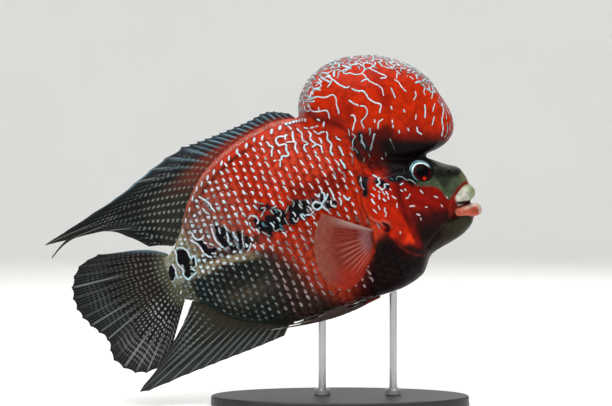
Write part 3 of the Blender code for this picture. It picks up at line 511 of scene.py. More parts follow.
def coat_colour(p, look):
    """Base colours of the body at points of the fish frame, shared by the skin and the scales; some layers are painted
    shade, shadows and highlights, as marked below.
    """
    x, z = seen(p)
    colour = np.ones(p.shape) * np.array(look.body)

    def lay(tint, share):
        nonlocal colour
        share = np.asarray(share)[..., None]
        colour = colour * (1 - share) + (linear(tint) if isinstance(tint[0], int) else np.array(tint)) * share

    blot = wander(x, z, 9, 3)
    small = wander(x, z, 4, 11)
    depth = smooth(BACK, p[..., 0]) - p[..., 2]
    lay(look.flank, ramp(z, 6, 30) * ramp(x, 60, 85) * ramp(x, 124, 110) * 0.6)
    lay((112, 20, 10), ramp(wander(x, z, 7, 12), 0.1, 0.8) * ramp(x, 40, 60) * 0.5)
    lay((110, 16, 8), ramp(z + 3 * small, 34, 26) * ramp(z, 12, 18) * ramp(x, 76, 84) * ramp(x, 120, 112) * 0.7)
    lay((190, 62, 42), ramp(z, 24, 36) * ramp(x, 56, 72) * ramp(x, 122, 108) * 0.5)
    lay((146, 80, 66), ramp(x + 0.25 * z, 72, 40) * ramp(z + 3 * blot, 62, 46) * 0.7)
    lay((120, 92, 82), ramp(x + 0.1 * z, 48, 20) * ramp(z + 4 * blot, 44, 30) * 0.8)
    lay((70, 66, 64), ramp(x, 34, 18) * ramp(small, 0.0, 0.6) * 0.45)
    lay((112, 48, 34), ramp(z, 5, -8) * ramp(x, 44, 62) * ramp(x, 112, 96) * 0.4)
    lay((184, 62, 36), ramp(z, 6, -10) * ramp(x, 60, 80) * 0.6)
    # Painted shade: the breast is laid deep red, and near black further forward under the pectoral fin, for the shade
    # of the underside.
    breast_shade = np.maximum(ramp(x, 144, 133), ramp(z, -30, -36))
    breast_shade = breast_shade * (1 - ramp(x, 116, 122) * ramp(z, -25, -15))
    lay((40, 5, 4), ramp(line_side(x, z, (90, -50), (124, -14)), -8, 9) * breast_shade)
    lay((16, 2, 3), ramp(line_side(x, z, (112, -31), (121, -13)), 1.0, 5.0) * breast_shade * ramp(z, -8, -13))
    rear = ramp(x, 56, 40) * ramp(z, 1.0, -6.0)
    rear = np.maximum(rear, ramp(line_side(x, z, (50, 0), (84, -52)) + 3.0 * blot, -10, 5) * ramp(z, 1.0, -5.0))
    lay(look.rear_belly, rear)
    lay((84, 78, 66), rear * np.exp(-((x - 34) / 15) ** 2 - ((z + 23 + 0.1 * (x - 34)) / 6) ** 2) * 0.75)
    lay((56, 34, 28), rear * ramp(x, 44, 66) * 0.7)
    lay((24, 26, 22), rear * ramp(wander(x, z, 14, 8), -0.1, 0.6) * 0.6)
    ridge = line_distance(x, z, ((-2, -2), (8, -1.6), (20, 0.6), (32, 0.2), (44, -2.2), (54, -6)))
    lay((142, 134, 108), ramp(ridge + 1.0 * blot, 3.4, 1.0) * ramp(x, 56, 34) * ramp(x, 2, 10))
    lay((134, 134, 108), ramp(x + 0.4 * z + 2 * small, 25, 15) * ramp(z, -6, -1) * 0.85)
    lay((76, 78, 58), ramp(x, 7, 2) * ramp(z, -2, -5))
    lay((20, 34, 36), ramp(x, 3, 7) * ramp(x + 2 * small, 22, 12) * ramp(z, -4, -8) * 0.8)
    band = line_distance(x, z, ((14, 5.4), (28, 4.6), (38.5, 2.9), (47, 4.9), (58, 6.2)))
    lay((46, 38, 32), ramp(band + 1.2 * small, 3.4, 1.0) * ramp(x, 62, 50) * ramp(x, 10, 16) * 0.85)
    sheath = ramp(depth, 7.4, 6.0) * ramp(x, 14, 24)
    lay((172, 44, 24), sheath * ramp(x, 108, 96))
    lay((106, 72, 60), sheath * ramp(x, 48, 26) * 0.8)
    lay((190, 104, 88), ramp(depth, 2.6, 0.8) * ramp(x, 14, 24) * ramp(x, 110, 98) * 0.6)
    lay((66, 22, 14), ramp(np.abs(depth - 7.3), 1.6, 0.4) * ramp(x, 16, 30) * ramp(x, 78, 60) * 0.85)
    hump = ramp(hump_reach(p), 1.12, 1.02)
    lay(look.hump, hump)
    lay((132, 16, 6), hump * ramp(wander(x, z, 12, 13), -0.1, 0.7) * 0.6)
    aside = np.abs(p[..., 1]) / HUMP_RADII[1]
    silver = ramp(aside, 0.62, 0.3) * ramp(line_side(x, z, (102, 66), (184, 56)), 2.0, -5.0)
    lay(look.crown, hump * silver * (0.5 + 0.35 * wander(x, p[..., 1] + z, 3.5, 14)))
    # Painted shadow: a dark line along the crease where the hump meets the back, and darker red on the hump beside it.
    fold = line_distance(x, z, HUMP_CREASE)
    lay((70, 10, 6), ramp(fold, 2.6, 0.4) * ramp(x, 131, 124) * ramp(x, 107, 111) * 0.75)
    lay((92, 16, 9), hump * ramp(fold, 7.5, 2.0) * ramp(line_side(x, z, (111, 61), (128, 48.6)), 0, -2) * ramp(x, 126, 114) * 0.7)
    # under: how far a point lies below the line under the hump; the hump is darkened there as painted shade.
    under = -line_side(x, z, (144.6, 38.4), (188.3, 22.5))
    lay((80, 6, 4), hump * ramp(under, 7.0, 1.0) * ramp(x, 128, 138) * 0.7)
    nape = smooth(NAPE_EDGE, z)
    lay((120, 16, 8), ramp(x, 122, 127) * ramp(z, 27, 23) * ramp(z, 11, 14) * 0.5)
    # Dark red ahead of the nape edge, under the hump and behind the eye: partly the fish's own dark mask, partly
    # painted shade.
    lay((62, 7, 5), ramp(x + small, nape - 2, nape + 2) * ramp(z, 47.5, 42) * ramp(z, 12, 16) * ramp(x, 158, 150) * 0.88)
    head = ramp(x, smooth(SHOULDER_LINE, z) - 1, smooth(SHOULDER_LINE, z) + 2)
    below = head * ramp(z, 24, 16)
    lay(look.cheek, below)
    lay((128, 14, 5), below * ramp(x + 0.3 * small, 140, 143.5))
    lay((120, 12, 5), below * ramp(small, 0.1, 0.7) * 0.5)
    # Painted shade: the lower cheek ahead of the preopercle is darkened down to near black.
    lay((52, 5, 4), below * ramp(x, 143, 149) * ramp(z + 0.12 * (x - 150) + 2 * small, -9, -18))
    lay((14, 2, 2), below * ramp(x, 144, 149) * ramp(z + 2 * small, -17, -25) * 0.9)
    # Painted shade in the preopercle's crease.
    lay((70, 6, 4), below * ramp(line_distance(x, z, PREOPERCLE[:5]), 2.4, 0.8) * 0.6)
    lobe = np.minimum(line_distance(x, z, ((141, -24.5), (137.2, -28.6))), line_distance(x, z, ((141, -24.5), (141.4, -29.6))))
    lay((214, 50, 12), below * ramp(lobe, 2.0, 0.7))
    # Painted shade: near black below the edge of the gill membranes, on the underside of the head.
    lay((30, 2, 3), below * ramp(line_side(x, z, (122, -18), (146, -36)) + 1.2 * small, -3.0, 1.5) * ramp(x, 162, 150))
    edge = smooth(SNOUT_EDGE, x)
    snout = ramp(z, edge - 0.9, edge + 0.9) * ramp(x, 153.5, 156) * (1 - hump)
    lay(look.snout, snout)
    # Painted shade under the hump's overhang: the upper snout is darker, and a near-black band runs along its top by
    # the nostril.
    lay((34, 37, 26), snout * ramp(z, edge + 5, edge + 10) * 0.85)
    lay((18, 20, 15), snout * ramp(line_distance(x, z, ((164, 7.6), (170, 6.2), (177, 3.6), (182, 2.2))), 4.4, 1.0))
    lay((98, 94, 66), snout * ramp(np.hypot(x - 186, z + 2), 5.0, 2.0) * 0.7)
    # Near black behind, above and round the top of the eye, and under the hump's front: partly the fish's own dark
    # mask, partly painted shade under the hump.
    dark = ramp(under, 2.0, -4.0) * ramp(x, 135, 148) * ramp(z, 9.0, 12.5) * ramp(x - 0.5 * z, 174, 168)
    dark = np.maximum(dark, ramp(z, 11.5, 15.5) * ramp(x, 133, 146) * ramp(x - 0.8 * z, 170, 160) * (1 - hump))
    dark = np.maximum(dark, ramp(np.hypot(x - 160.8, z - 10), 11.5, 9.5) * ramp(z - 9.9 - 0.5 * (x - 161), -6, -1))
    lay((9, 3, 4), dark)
    # Painted shade in the fold at the corner of the mouth.
    lay((124, 26, 12), ramp(line_distance(x, z, MOUTH_FOLD), 3.0, 1.0) * ramp(x, 183, 178) * ramp(z, -7, -12)
        * ramp(z, -25, -18) * 0.8)
    # Painted shadow: a dark line just behind the free edge of the gill cover.
    cover_edge_shadow = [(a + 0.2, b) for b, a in COVER_REAR]
    rear_edge = smooth(COVER_REAR, p[..., 2])
    lay((46, 4, 4), ramp(line_distance(p[..., 0], p[..., 2], cover_edge_shadow), 1.3, 0.4)
        * ramp(p[..., 0], rear_edge + 0.5, rear_edge - 0.2))
    # Painted shadow in the pit at the notch of the gill cover.
    lay((26, 2, 3), ramp(line_distance(x, z, ((128.8, -11.9), (131.0, -14.2), (129.1, -17.3))), 1.7, 0.7))
    # Painted highlight: pale pink lines along the raised gill folds.
    for fold in GILL_FOLDS:
        lay((206, 96, 78), ramp(line_distance(x, z, fold), 0.8, 0.35) * 0.8)
    chin = ramp(x, 157, 166) * ramp(z, -24, -27)
    lay(look.chin, chin)
    lay((30, 5, 4), chin * ramp(x, 172, 160) * ramp(z, -26, -31) * 0.85)
    return colour


def pearl_colour(p, tone, look, teal=0.0):
    """Colours of pearl marks from faint to bright, bluer or pinker by place and lilac low on the flank, and dimmed by
    painted shade under the hump.
    """
    x, z = seen(p)
    low = (ramp(z, 4, -8) * ramp(x, 48, 58))[..., None]
    hue = ramp(wander(x, z, 4, 21), -0.4, 0.6)[..., None] * 0.8
    # Painted shade: marks below the line under the hump are dimmed.
    under = -line_side(x, z, (144.6, 38.4), (188.3, 22.5))
    tone = tone + 0.22 * wander(x, z, 0.9, 22) - 0.75 * ramp(under, 1.5, -5) * ramp(x, 138, 148) * ramp(z, 12, 16)
    dim, bright = ramp(tone, 0.05, 0.5)[..., None], ramp(tone, 0.4, 0.95)[..., None]
    dull = np.array(look.pearl_dim) * (1 - low) + linear((134, 104, 104)) * low
    pure = np.array(look.pearl) * (1 - hue) + linear((216, 210, 220)) * hue
    colour = linear((30, 34, 36)) * (1 - dim) + dull * dim
    colour = colour * (1 - bright) + (pure * (1 - 0.7 * low) + linear((196, 172, 176)) * 0.7 * low) * bright
    teal = np.asarray(teal)[..., None] * np.ones_like(dim)
    return colour * (1 - teal) + linear((70, 122, 132)) * teal * (0.4 + 0.6 * bright)


def line_side(x, z, a, b):
    """Distance of points from the straight line from a to b, above 0 on its right-hand side."""
    dx, dz = b[0] - a[0], b[1] - a[1]
    return ((x - a[0]) * dz - (z - a[1]) * dx) / math.hypot(dx, dz)


def grid(columns, rows):
    """Flat sheet of quads, with the number of its corner kept on every vertex."""
    bm = bmesh.new()
    bmesh.ops.create_grid(bm, x_segments=columns, y_segments=rows, size=1.0)
    corner = bm.verts.layers.int.new("corner")
    for v in bm.verts:
        v[corner] = round((v.co.x + 1) / 2 * columns) * (rows + 1) + round((v.co.y + 1) / 2 * rows)
    return bm, corner


def put(bm, corner, points):
    """Move each vertex to the point of its corner."""
    flat = points.reshape(-1, 3)
    for v in bm.verts:
        v.co = flat[v[corner]]


def tube(points):
    """Closed tube: the first and last columns of points meet and both ends are filled."""
    bm, corner = grid(points.shape[0] - 1, points.shape[1] - 1)
    put(bm, corner, points)
    bmesh.ops.remove_doubles(bm, verts=bm.verts, dist=1e-4)
    ends = [e for e in bm.edges if e.is_boundary]
    bmesh.ops.holes_fill(bm, edges=ends, sides=0)
    bmesh.ops.recalc_face_normals(bm, faces=bm.faces)
    return bm


def slab(outer, inner):
    """Thin closed solid between two sheets of points; the mesh keeps each vertex's corner."""
    bm, corner = grid(outer.shape[0] - 1, outer.shape[1] - 1)
    first = list(bm.verts)
    bmesh.ops.extrude_face_region(bm, geom=bm.faces[:])
    flat = (inner.reshape(-1, 3), outer.reshape(-1, 3))
    count = len(first)
    bm.verts.ensure_lookup_table()
    for index, v in enumerate(bm.verts):
        v.co = flat[1 if index >= count else 0][v[corner]]
    bm.normal_update()
    bmesh.ops.recalc_face_normals(bm, faces=bm.faces)
    return bm


def ball(centre, radii, axes=None, segments=32, rings=20):
    """Ellipsoid with its half axes along the columns of axes."""
    axes = np.eye(3) if axes is None else axes
    bm = bmesh.new()
    bmesh.ops.create_uvsphere(bm, u_segments=segments, v_segments=rings, radius=1.0)
    for v in bm.verts:
        v.co = np.array(centre) + axes @ (np.array(v.co) * radii)
    return bm


def merge(parts):
    """One mesh of all the parts."""
    whole = bmesh.new()
    for part in parts:
        mesh = bpy.data.meshes.new("part")
        part.to_mesh(mesh)
        part.free()
        whole.from_mesh(mesh)
        bpy.data.meshes.remove(mesh)
    return whole


def repeated(template, count):
    """One mesh with so many copies of the template, one after the other."""
    mesh = bpy.data.meshes.new("template")
    template.to_mesh(mesh)
    template.free()
    whole = bmesh.new()
    for _ in range(count):
        whole.from_mesh(mesh)
    bpy.data.meshes.remove(mesh)
    return whole


def places(mesh):
    """The mesh's vertices as an array."""
    co = np.empty(len(mesh.vertices) * 3)
    mesh.vertices.foreach_get("co", co)
    return co.reshape(-1, 3)


def move(mesh, points):
    mesh.vertices.foreach_set("co", np.asarray(points, float).ravel())
    mesh.update()


def keep_colour(mesh, name, colours):
    layer = mesh.attributes.new(name, "FLOAT_COLOR", "POINT")
    rgba = np.ones((len(mesh.vertices), 4))
    rgba[:, :3] = colours
    layer.data.foreach_set("color", rgba.ravel())


def keep_number(mesh, name, values):
    layer = mesh.attributes.new(name, "FLOAT", "POINT")
    layer.data.foreach_set("value", np.asarray(values, float).ravel())


def keep_map(mesh, name, uv):
    """UV map from one pair of numbers for each vertex."""
    layer = mesh.uv_layers.new(name=name)
    index = np.empty(len(mesh.loops), int)
    mesh.loops.foreach_get("vertex_index", index)
    layer.data.foreach_set("uv", np.asarray(uv, float)[index].ravel())


def to_mesh(name, bm):
    mesh = bpy.data.meshes.new(name)
    bm.to_mesh(mesh)
    bm.free()
    return mesh


def show(mesh, material, nodes):
    """Put a finished mesh in the scene on the part's one body, standing for these solids."""
    mesh.materials.clear()
    mesh.materials.append(material)
    mesh.shade_smooth()
    obj = bpy.data.objects.new(mesh.name, mesh)
    bpy.context.scene.collection.objects.link(obj)
    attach(obj, "root")
    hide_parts(*nodes)
    return obj


class Paint:
    """Shader nodes of one material, wired by its methods."""

    def __init__(self, name):
        self.material = bpy.data.materials.new(name)
        self.material.use_nodes = True
        self.tree = self.material.node_tree
        self.shader = self.tree.nodes["Principled BSDF"]

    def node(self, kind, settings=None, **sockets):
        made = self.tree.nodes.new("ShaderNode" + kind)
        for key, value in (settings or {}).items():
            setattr(made, key, value)
        for key, value in sockets.items():
            self.feed(made.inputs[key.replace("_", " ")], value)
        return made

    def feed(self, socket, value):
        if isinstance(value, bpy.types.NodeSocket):
            self.tree.links.new(value, socket)
        elif socket.type == "RGBA":
            socket.default_value = (*value[:3], 1.0)
        else:
            socket.default_value = value

    def math(self, operation, a, b=0.0, c=0.0):
        made = self.tree.nodes.new("ShaderNodeMath")
        made.operation = operation
        for socket, value in zip(made.inputs, (a, b, c)):
            self.feed(socket, value)
        return made.outputs[0]

    def mix(self, share, a, b, blend="MIX"):
        made = self.tree.nodes.new("ShaderNodeMix")
        made.data_type = "RGBA"
        made.blend_type = blend
        self.feed(made.inputs[0], share)
        self.feed(made.inputs[6], a)
        self.feed(made.inputs[7], b)
        return made.outputs[2]

    def turn(self, value, low, high, start=0.0, end=1.0):
        """value from low to high, remapped smoothly to start to end."""
        made = self.node("MapRange", {"interpolation_type": "SMOOTHSTEP"}, Value=value)
        for key, number in zip(("From Min", "From Max", "To Min", "To Max"), (low, high, start, end)):
            made.inputs[key].default_value = number
        return made.outputs["Result"]

    def kept(self, name):
        return self.node("Attribute", {"attribute_name": name})

    def noise(self, scale, detail=3.0, where=None, roughness=0.5):
        where = where or self.node("TexCoord").outputs["Object"]
        return self.node("TexNoise", Vector=where, Scale=scale, Detail=detail, Roughness=roughness)

    def cells(self, scale, feature="F1", where=None):
        where = where or self.node("TexCoord").outputs["Object"]
        return self.node("TexVoronoi", {"feature": feature}, Vector=where, Scale=scale)

    def bump(self, height, strength, distance=0.0003, under=None):
        made = self.node("Bump", Height=height, Strength=strength, Distance=distance)
        if under is not None:
            self.feed(made.inputs["Normal"], under)
        return made.outputs["Normal"]

    def surface(self, **sockets):
        for key, value in sockets.items():
            self.feed(self.shader.inputs[key.replace("_", " ")], value)
        return self.material


def coat_base(paint, look):
    """Colour of skin or scale: the kept base, its fine mottling and the edged dark blotches."""
    base = paint.kept("Paint").outputs["Color"]
    mottle = paint.turn(paint.noise(260, 4).outputs["Fac"], 0.3, 0.7, 0.72, 1.16)
    base = paint.mix(1.0, base, paint.node("CombineColor", Red=mottle, Green=mottle, Blue=mottle).outputs[0], "MULTIPLY")
    ragged = paint.math("MULTIPLY_ADD", paint.noise(420, 3).outputs["Fac"], 1.6, -0.8)
    distance = paint.math("ADD", paint.kept("Blotch").outputs["Fac"], ragged)
    edge = paint.turn(distance, 1.3, 0.7)
    broken = paint.turn(paint.noise(330, 2).outputs["Fac"], 0.42, 0.56)
    edge = paint.math("MULTIPLY", edge, paint.kept("Edge").outputs["Fac"])
    halo = paint.math("MULTIPLY", paint.turn(distance, 2.4, 0.2, 0.0, 0.75), paint.kept("Halo").outputs["Fac"])
    base = paint.mix(halo, base, linear((16, 26, 30)))
    base = paint.mix(paint.math("MULTIPLY", edge, broken), base, look.pearl)
    return paint.mix(paint.turn(distance, 0.25, -0.1), base, look.blotch)


def skin_material(look):
    paint = Paint("wet_skin")
    fine = paint.noise(1500, 2).outputs["Fac"]
    pores = paint.cells(900).outputs["Distance"]
    bump = paint.bump(pores, 0.25, 0.0002, paint.bump(fine, 0.35, 0.00025))
    rough = paint.turn(paint.noise(180, 3).outputs["Fac"], 0.3, 0.7, 0.34, 0.5)
    return paint.surface(Base_Color=coat_base(paint, look), Roughness=rough, Coat_Weight=0.03,
                         Coat_Roughness=0.1, Specular_IOR_Level=0.05, Normal=bump)


def scale_material(look):
    paint = Paint("enamelled_scales")
    length = paint.kept("Along").outputs["Fac"]
    across = paint.math("ABSOLUTE", paint.kept("Across").outputs["Fac"])
    base = coat_base(paint, look)
    hollow = paint.turn(length, 0.46, 0.62)
    dark = paint.mix(1.0, base, (0.66, 0.5, 0.48), "MULTIPLY")
    base = paint.mix(hollow, dark, base)
    rim = paint.turn(length, 0.86, 1.0, 0.0, 0.55)
    flank = paint.turn(across, 0.72, 1.0, 0.0, 0.5)
    base = paint.mix(paint.math("MAXIMUM", rim, flank), base, dark)
    stripes = paint.math("SINE", paint.math("MULTIPLY", paint.kept("Across").outputs["Fac"], 34.0))
    bump = paint.bump(stripes, 0.12, 0.0001, paint.bump(paint.noise(1300, 2).outputs["Fac"], 0.2, 0.0002))
    return paint.surface(Base_Color=base, Roughness=0.42, Coat_Weight=0.03, Coat_Roughness=0.1,
                         Specular_IOR_Level=0.05, Normal=bump)


def pearl_material():
    paint = Paint("pearl_spots")
    cloud = paint.turn(paint.noise(900, 2).outputs["Fac"], 0.3, 0.7, 0.82, 1.1)
    cloud = paint.node("CombineColor", Red=cloud, Green=cloud, Blue=cloud).outputs[0]
    base = paint.mix(1.0, paint.kept("Paint").outputs["Color"], cloud, "MULTIPLY")
    return paint.surface(Base_Color=base, Roughness=0.34, Coat_Weight=0.12, Coat_Roughness=0.1,
                         Specular_IOR_Level=0.25)


def fin_material(name, pale, rim=None, pitch=2.4):
    """Fin of tinted membrane with paler rays, rows of spots along them and a bright rim."""
    paint = Paint(name)
    place = paint.node("UVMap", {"uv_map": "Rays"}).outputs["UV"]
    parts = paint.node("SeparateXYZ", Vector=place)
    run = paint.kept("Run").outputs["Fac"]
    stagger = paint.math("SINE", paint.math("MULTIPLY_ADD", parts.outputs["X"], 2.4, 0.6))
    uneven = paint.math("MULTIPLY_ADD", paint.noise(160, 2).outputs["Fac"], 3.0, -1.5)
    wave = paint.math("MULTIPLY_ADD", run, 2 * math.pi / pitch, paint.math("ADD", stagger, uneven))
    dots = paint.math("MULTIPLY", paint.turn(paint.math("SINE", wave), -0.2, 0.5), paint.turn(paint.kept("Row").outputs["Fac"], 0.25, 0.6))
    fade = paint.turn(paint.noise(60, 2).outputs["Fac"], 0.35, 0.6, 0.45, 1.0)
    dots = paint.math("MULTIPLY", paint.math("MULTIPLY", dots, fade), paint.kept("Spots").outputs["Fac"])
    fine = paint.math("MULTIPLY", paint.turn(paint.kept("Ridge").outputs["Fac"], 0.35, 0.9), 0.3)
    fine = paint.math("MULTIPLY", fine, paint.kept("Lines").outputs["Fac"])
    streak = paint.math("MAXIMUM", fine, paint.kept("Core").outputs["Fac"])
    grain = paint.turn(paint.noise(420, 3).outputs["Fac"], 0.3, 0.7, 0.82, 1.15)
    grain = paint.node("CombineColor", Red=grain, Green=grain, Blue=grain).outputs[0]
    base = paint.mix(1.0, paint.kept("Paint").outputs["Color"], grain, "MULTIPLY")
    base = paint.mix(paint.math("MAXIMUM", dots, streak), base, pale)
    if rim is not None:
        base = paint.mix(paint.kept("Rim").outputs["Fac"], base, rim)
    bump = paint.bump(paint.noise(1200, 3).outputs["Fac"], 0.3, 0.0002)
    return paint.surface(Base_Color=base, Roughness=0.45, Coat_Weight=0.02, Coat_Roughness=0.2,
                         Specular_IOR_Level=0.05, Normal=bump)


def eye_material(look):
    """Dark disc set low in a silver-blue ring that is broad and bright above and thin below; the ring's silver shows
    only above and to the left, as painted light from above left, with a painted white highlight across its top.
    """
    paint = Paint("glassy_eye")
    reach = paint.kept("Reach").outputs["Fac"]
    disc = paint.kept("Disc").outputs["Fac"]
    bright = paint.kept("Bright").outputs["Fac"]
    wisps = paint.math("MULTIPLY_ADD", paint.noise(700, 3).outputs["Fac"], 0.8, -0.4)
    uneven = paint.math("ADD", disc, wisps)
    band = paint.math("SINE", paint.math("MULTIPLY", uneven, 5.2))
    silver = paint.mix(paint.turn(band, -0.5, 0.9), linear((34, 64, 70)), look.ring)
    # Painted light and shade: the ring keeps its silver where it is lit, above and to the left, and goes near black
    # elsewhere.
    silver = paint.mix(paint.kept("LitRing").outputs["Fac"], linear((14, 15, 17)), silver)
    # Painted highlight: a white crescent across the top of the ring.
    highlight_crescent = paint.math("MULTIPLY", paint.turn(disc, 7.0, 6.2), bright)
    silver = paint.mix(highlight_crescent, silver, linear((226, 246, 250)))
    iris = paint.mix(paint.turn(uneven, 3.6, 5.4), linear((10, 1, 3)), look.iris)
    base = paint.mix(paint.turn(uneven, 5.5, 5.8), iris, silver)
    base = paint.mix(paint.turn(reach, 8.0, 8.3), base, linear((10, 10, 12)))
    base = paint.mix(paint.turn(disc, 3.4, 3.1), base, (0.001, 0.001, 0.002))
    glint = paint.math("ADD", paint.kept("Glint").outputs["Fac"], wisps)
    base = paint.mix(paint.turn(glint, 1.7, 0.1), base, linear((200, 38, 8)))
    return paint.surface(Base_Color=base, Roughness=0.3, Coat_Weight=0.03, Coat_Roughness=0.03,
                         Specular_IOR_Level=0.02)


def steel_material():
    paint = Paint("brushed_steel")
    stretched = paint.node("Mapping", Vector=paint.node("TexCoord").outputs["Object"])
    stretched.inputs["Scale"].default_value = (1.0, 1.0, 0.03)
    lines = paint.noise(2600, 3, stretched.outputs["Vector"]).outputs["Fac"]
    rough = paint.turn(lines, 0.3, 0.7, 0.22, 0.4)
    return paint.surface(Base_Color=linear((176, 178, 180)), Metallic=1.0, Roughness=rough,
                         Normal=paint.bump(lines, 0.15, 0.0001))


def powder_material(look):
    paint = Paint("black_powder_coat")
    grain = paint.noise(2200, 2).outputs["Fac"]
    tone = paint.turn(paint.noise(40, 3).outputs["Fac"], 0.3, 0.7, 0.0, 1.0)
    base = paint.mix(tone, look.base, np.array(look.base) * 1.35)
    return paint.surface(Base_Color=base, Roughness=0.42, Normal=paint.bump(grain, 0.35, 0.00012))


def floor_material(look):
    paint = Paint("studio_paper")
    tone = paint.turn(paint.noise(3, 2).outputs["Fac"], 0.3, 0.7, 0.0, 1.0)
    base = paint.mix(tone, look.floor, np.array(look.floor) * 1.02)
    return paint.surface(Base_Color=base, Roughness=0.8)


class SkinLook(bpy.types.PropertyGroup):
    """Colours of the body and how far the skin lies inside the solids."""

    inset: bpy.props.FloatProperty(name="Inset", description="Depth of the skin below the solids, in millimetres",
                                   default=0.55, min=0.0, max=2.0)
    fineness: bpy.props.FloatProperty(name="Fineness", description="Size of the skin's faces, in millimetres",
                                      default=0.98, min=0.6, max=3.0)
    body: bpy.props.FloatVectorProperty(name="Body", description="Red of the body", subtype="COLOR",
                                        default=tuple(linear((174, 38, 2))))
    flank: bpy.props.FloatVectorProperty(name="Flank", description="Brighter red of the upper flank", subtype="COLOR",
                                         default=tuple(linear((188, 52, 14))))
    hump: bpy.props.FloatVectorProperty(name="Hump", description="Red of the hump", subtype="COLOR",
                                        default=tuple(linear((178, 36, 1))))
    cheek: bpy.props.FloatVectorProperty(name="Cheek", description="Orange-red of the cheek", subtype="COLOR",
                                         default=tuple(linear((172, 30, 1))))
    snout: bpy.props.FloatVectorProperty(name="Snout", description="Olive of the snout", subtype="COLOR",
                                         default=tuple(linear((66, 76, 56))))
    chin: bpy.props.FloatVectorProperty(name="Chin", description="Olive of the chin", subtype="COLOR",
                                        default=tuple(linear((42, 40, 24))))
    crown: bpy.props.FloatVectorProperty(name="Crown", description="Silver haze over the top and back of the hump",
                                         subtype="COLOR", default=tuple(linear((128, 138, 136))))
    rear_belly: bpy.props.FloatVectorProperty(name="Rear belly", description="Grey-olive of the rear belly",
                                              subtype="COLOR", default=tuple(linear((30, 36, 32))))
    blotch: bpy.props.FloatVectorProperty(name="Blotches", description="Black of the blotches", subtype="COLOR",
                                          default=(0.004, 0.004, 0.006))
    pearl: bpy.props.FloatVectorProperty(name="Pearl", description="Pale blue of the pearl marks", subtype="COLOR",
                                         default=tuple(linear((184, 216, 226))))
    pearl_dim: bpy.props.FloatVectorProperty(name="Dim pearl", description="Greyer blue of the fainter marks",
                                             subtype="COLOR", default=tuple(linear((112, 124, 124))))


class ScaleLook(bpy.types.PropertyGroup):
    """Size and lie of the scales."""

    column: bpy.props.FloatProperty(name="Column pitch", description="Distance between columns, in millimetres",
                                    default=5.0, min=3.0, max=10.0)
    row: bpy.props.FloatProperty(name="Row pitch", description="Distance between rows, in millimetres",
                                 default=5.2, min=3.0, max=12.0)
    overlap: bpy.props.FloatProperty(name="Overlap", description="Length of a scale in column pitches",
                                     default=1.9, min=1.2, max=3.0)
    lift: bpy.props.FloatProperty(name="Lift", description="Height of a scale's free edge, in millimetres",
                                  default=0.46, min=0.1, max=2.0)


class EyeLook(bpy.types.PropertyGroup):
    """Colours of the eye."""

    ring: bpy.props.FloatVectorProperty(name="Ring", description="Silver-blue ring", subtype="COLOR",
                                        default=tuple(linear((150, 200, 208))))
    iris: bpy.props.FloatVectorProperty(name="Iris", description="Dark red iris", subtype="COLOR",
                                        default=tuple(linear((52, 4, 8))))


class StageLook(bpy.types.PropertyGroup):
    """Floor, lights and stand."""

    floor: bpy.props.FloatVectorProperty(name="Floor", description="Pale floor", subtype="COLOR",
                                         default=tuple(linear((240, 239, 236))))
    base: bpy.props.FloatVectorProperty(name="Stand", description="Powder coat of the stand", subtype="COLOR",
                                        default=tuple(linear((26, 26, 28))))
    key: bpy.props.FloatProperty(name="Key light", description="Power of the main light, in watts",
                                 default=12.5, min=0.0, max=200.0)


def eye_axes(side):
    """Axes of an eye, with the second one pointing out of the head."""
    out = unit(side_point(EYE[0], EYE[1], side, 1.0) - side_point(EYE[0], EYE[1], side, 0.0))
    up = unit(np.array((0.0, 0.0, 1.0)) - out * out[2])
    return np.stack([np.cross(out, up), out, up], 1)


def orbit(side):
    """Raised rim round an eye."""
    axes = eye_axes(side)
    centre = side_point(EYE[0], EYE[1], side, 0.0)
    turn = np.linspace(0, 2 * math.pi, 73)[:, None]
    roll = np.linspace(0, 2 * math.pi, 17)[None, :]
    reach = ORBIT_RADIUS + 0.2 + ORBIT_TUBE * 0.9 * np.cos(roll)
    lift = ORBIT_TUBE * 0.9 * np.sin(roll) + 0 * turn
    local = np.stack([reach * np.cos(turn), lift, reach * np.sin(turn)], -1)
    bm, corner = grid(72, 16)
    put(bm, corner, centre + local @ axes.T)
    bmesh.ops.remove_doubles(bm, verts=bm.verts, dist=1e-4)
    bmesh.ops.recalc_face_normals(bm, faces=bm.faces)
    return bm


def lip(shape):
    """Fleshy lip bent round the mouth, thickest at the front."""
    turn = np.linspace(-math.pi / 2, math.pi / 2, 49)[None, :]
    roll = np.linspace(0, 2 * math.pi, 33)[:, None]
    forward = np.cos(turn)
    centre = np.stack(np.broadcast_arrays(
        LIP_BACK + shape["reach"] * forward, LIP_HALF_WIDTH * np.sin(turn),
        shape["corner"] + (shape["front"] - shape["corner"]) * forward), -1)
    way = unit(np.stack([-shape["reach"] * np.sin(turn), LIP_HALF_WIDTH * forward, 0 * turn], -1))
    out = np.stack([way[..., 1], -way[..., 0], way[..., 2]], -1)
    thick = (LIP_CORNER_THICK + (shape["thick"] - LIP_CORNER_THICK) * forward + LIP_CORNER_SWELL * (1 - forward))
    thick = thick[..., None]
    up = np.array((0.0, 0.0, 1.0))
    return tube(centre + out * thick * 0.85 * np.cos(roll)[..., None] + up * thick * np.sin(roll)[..., None])


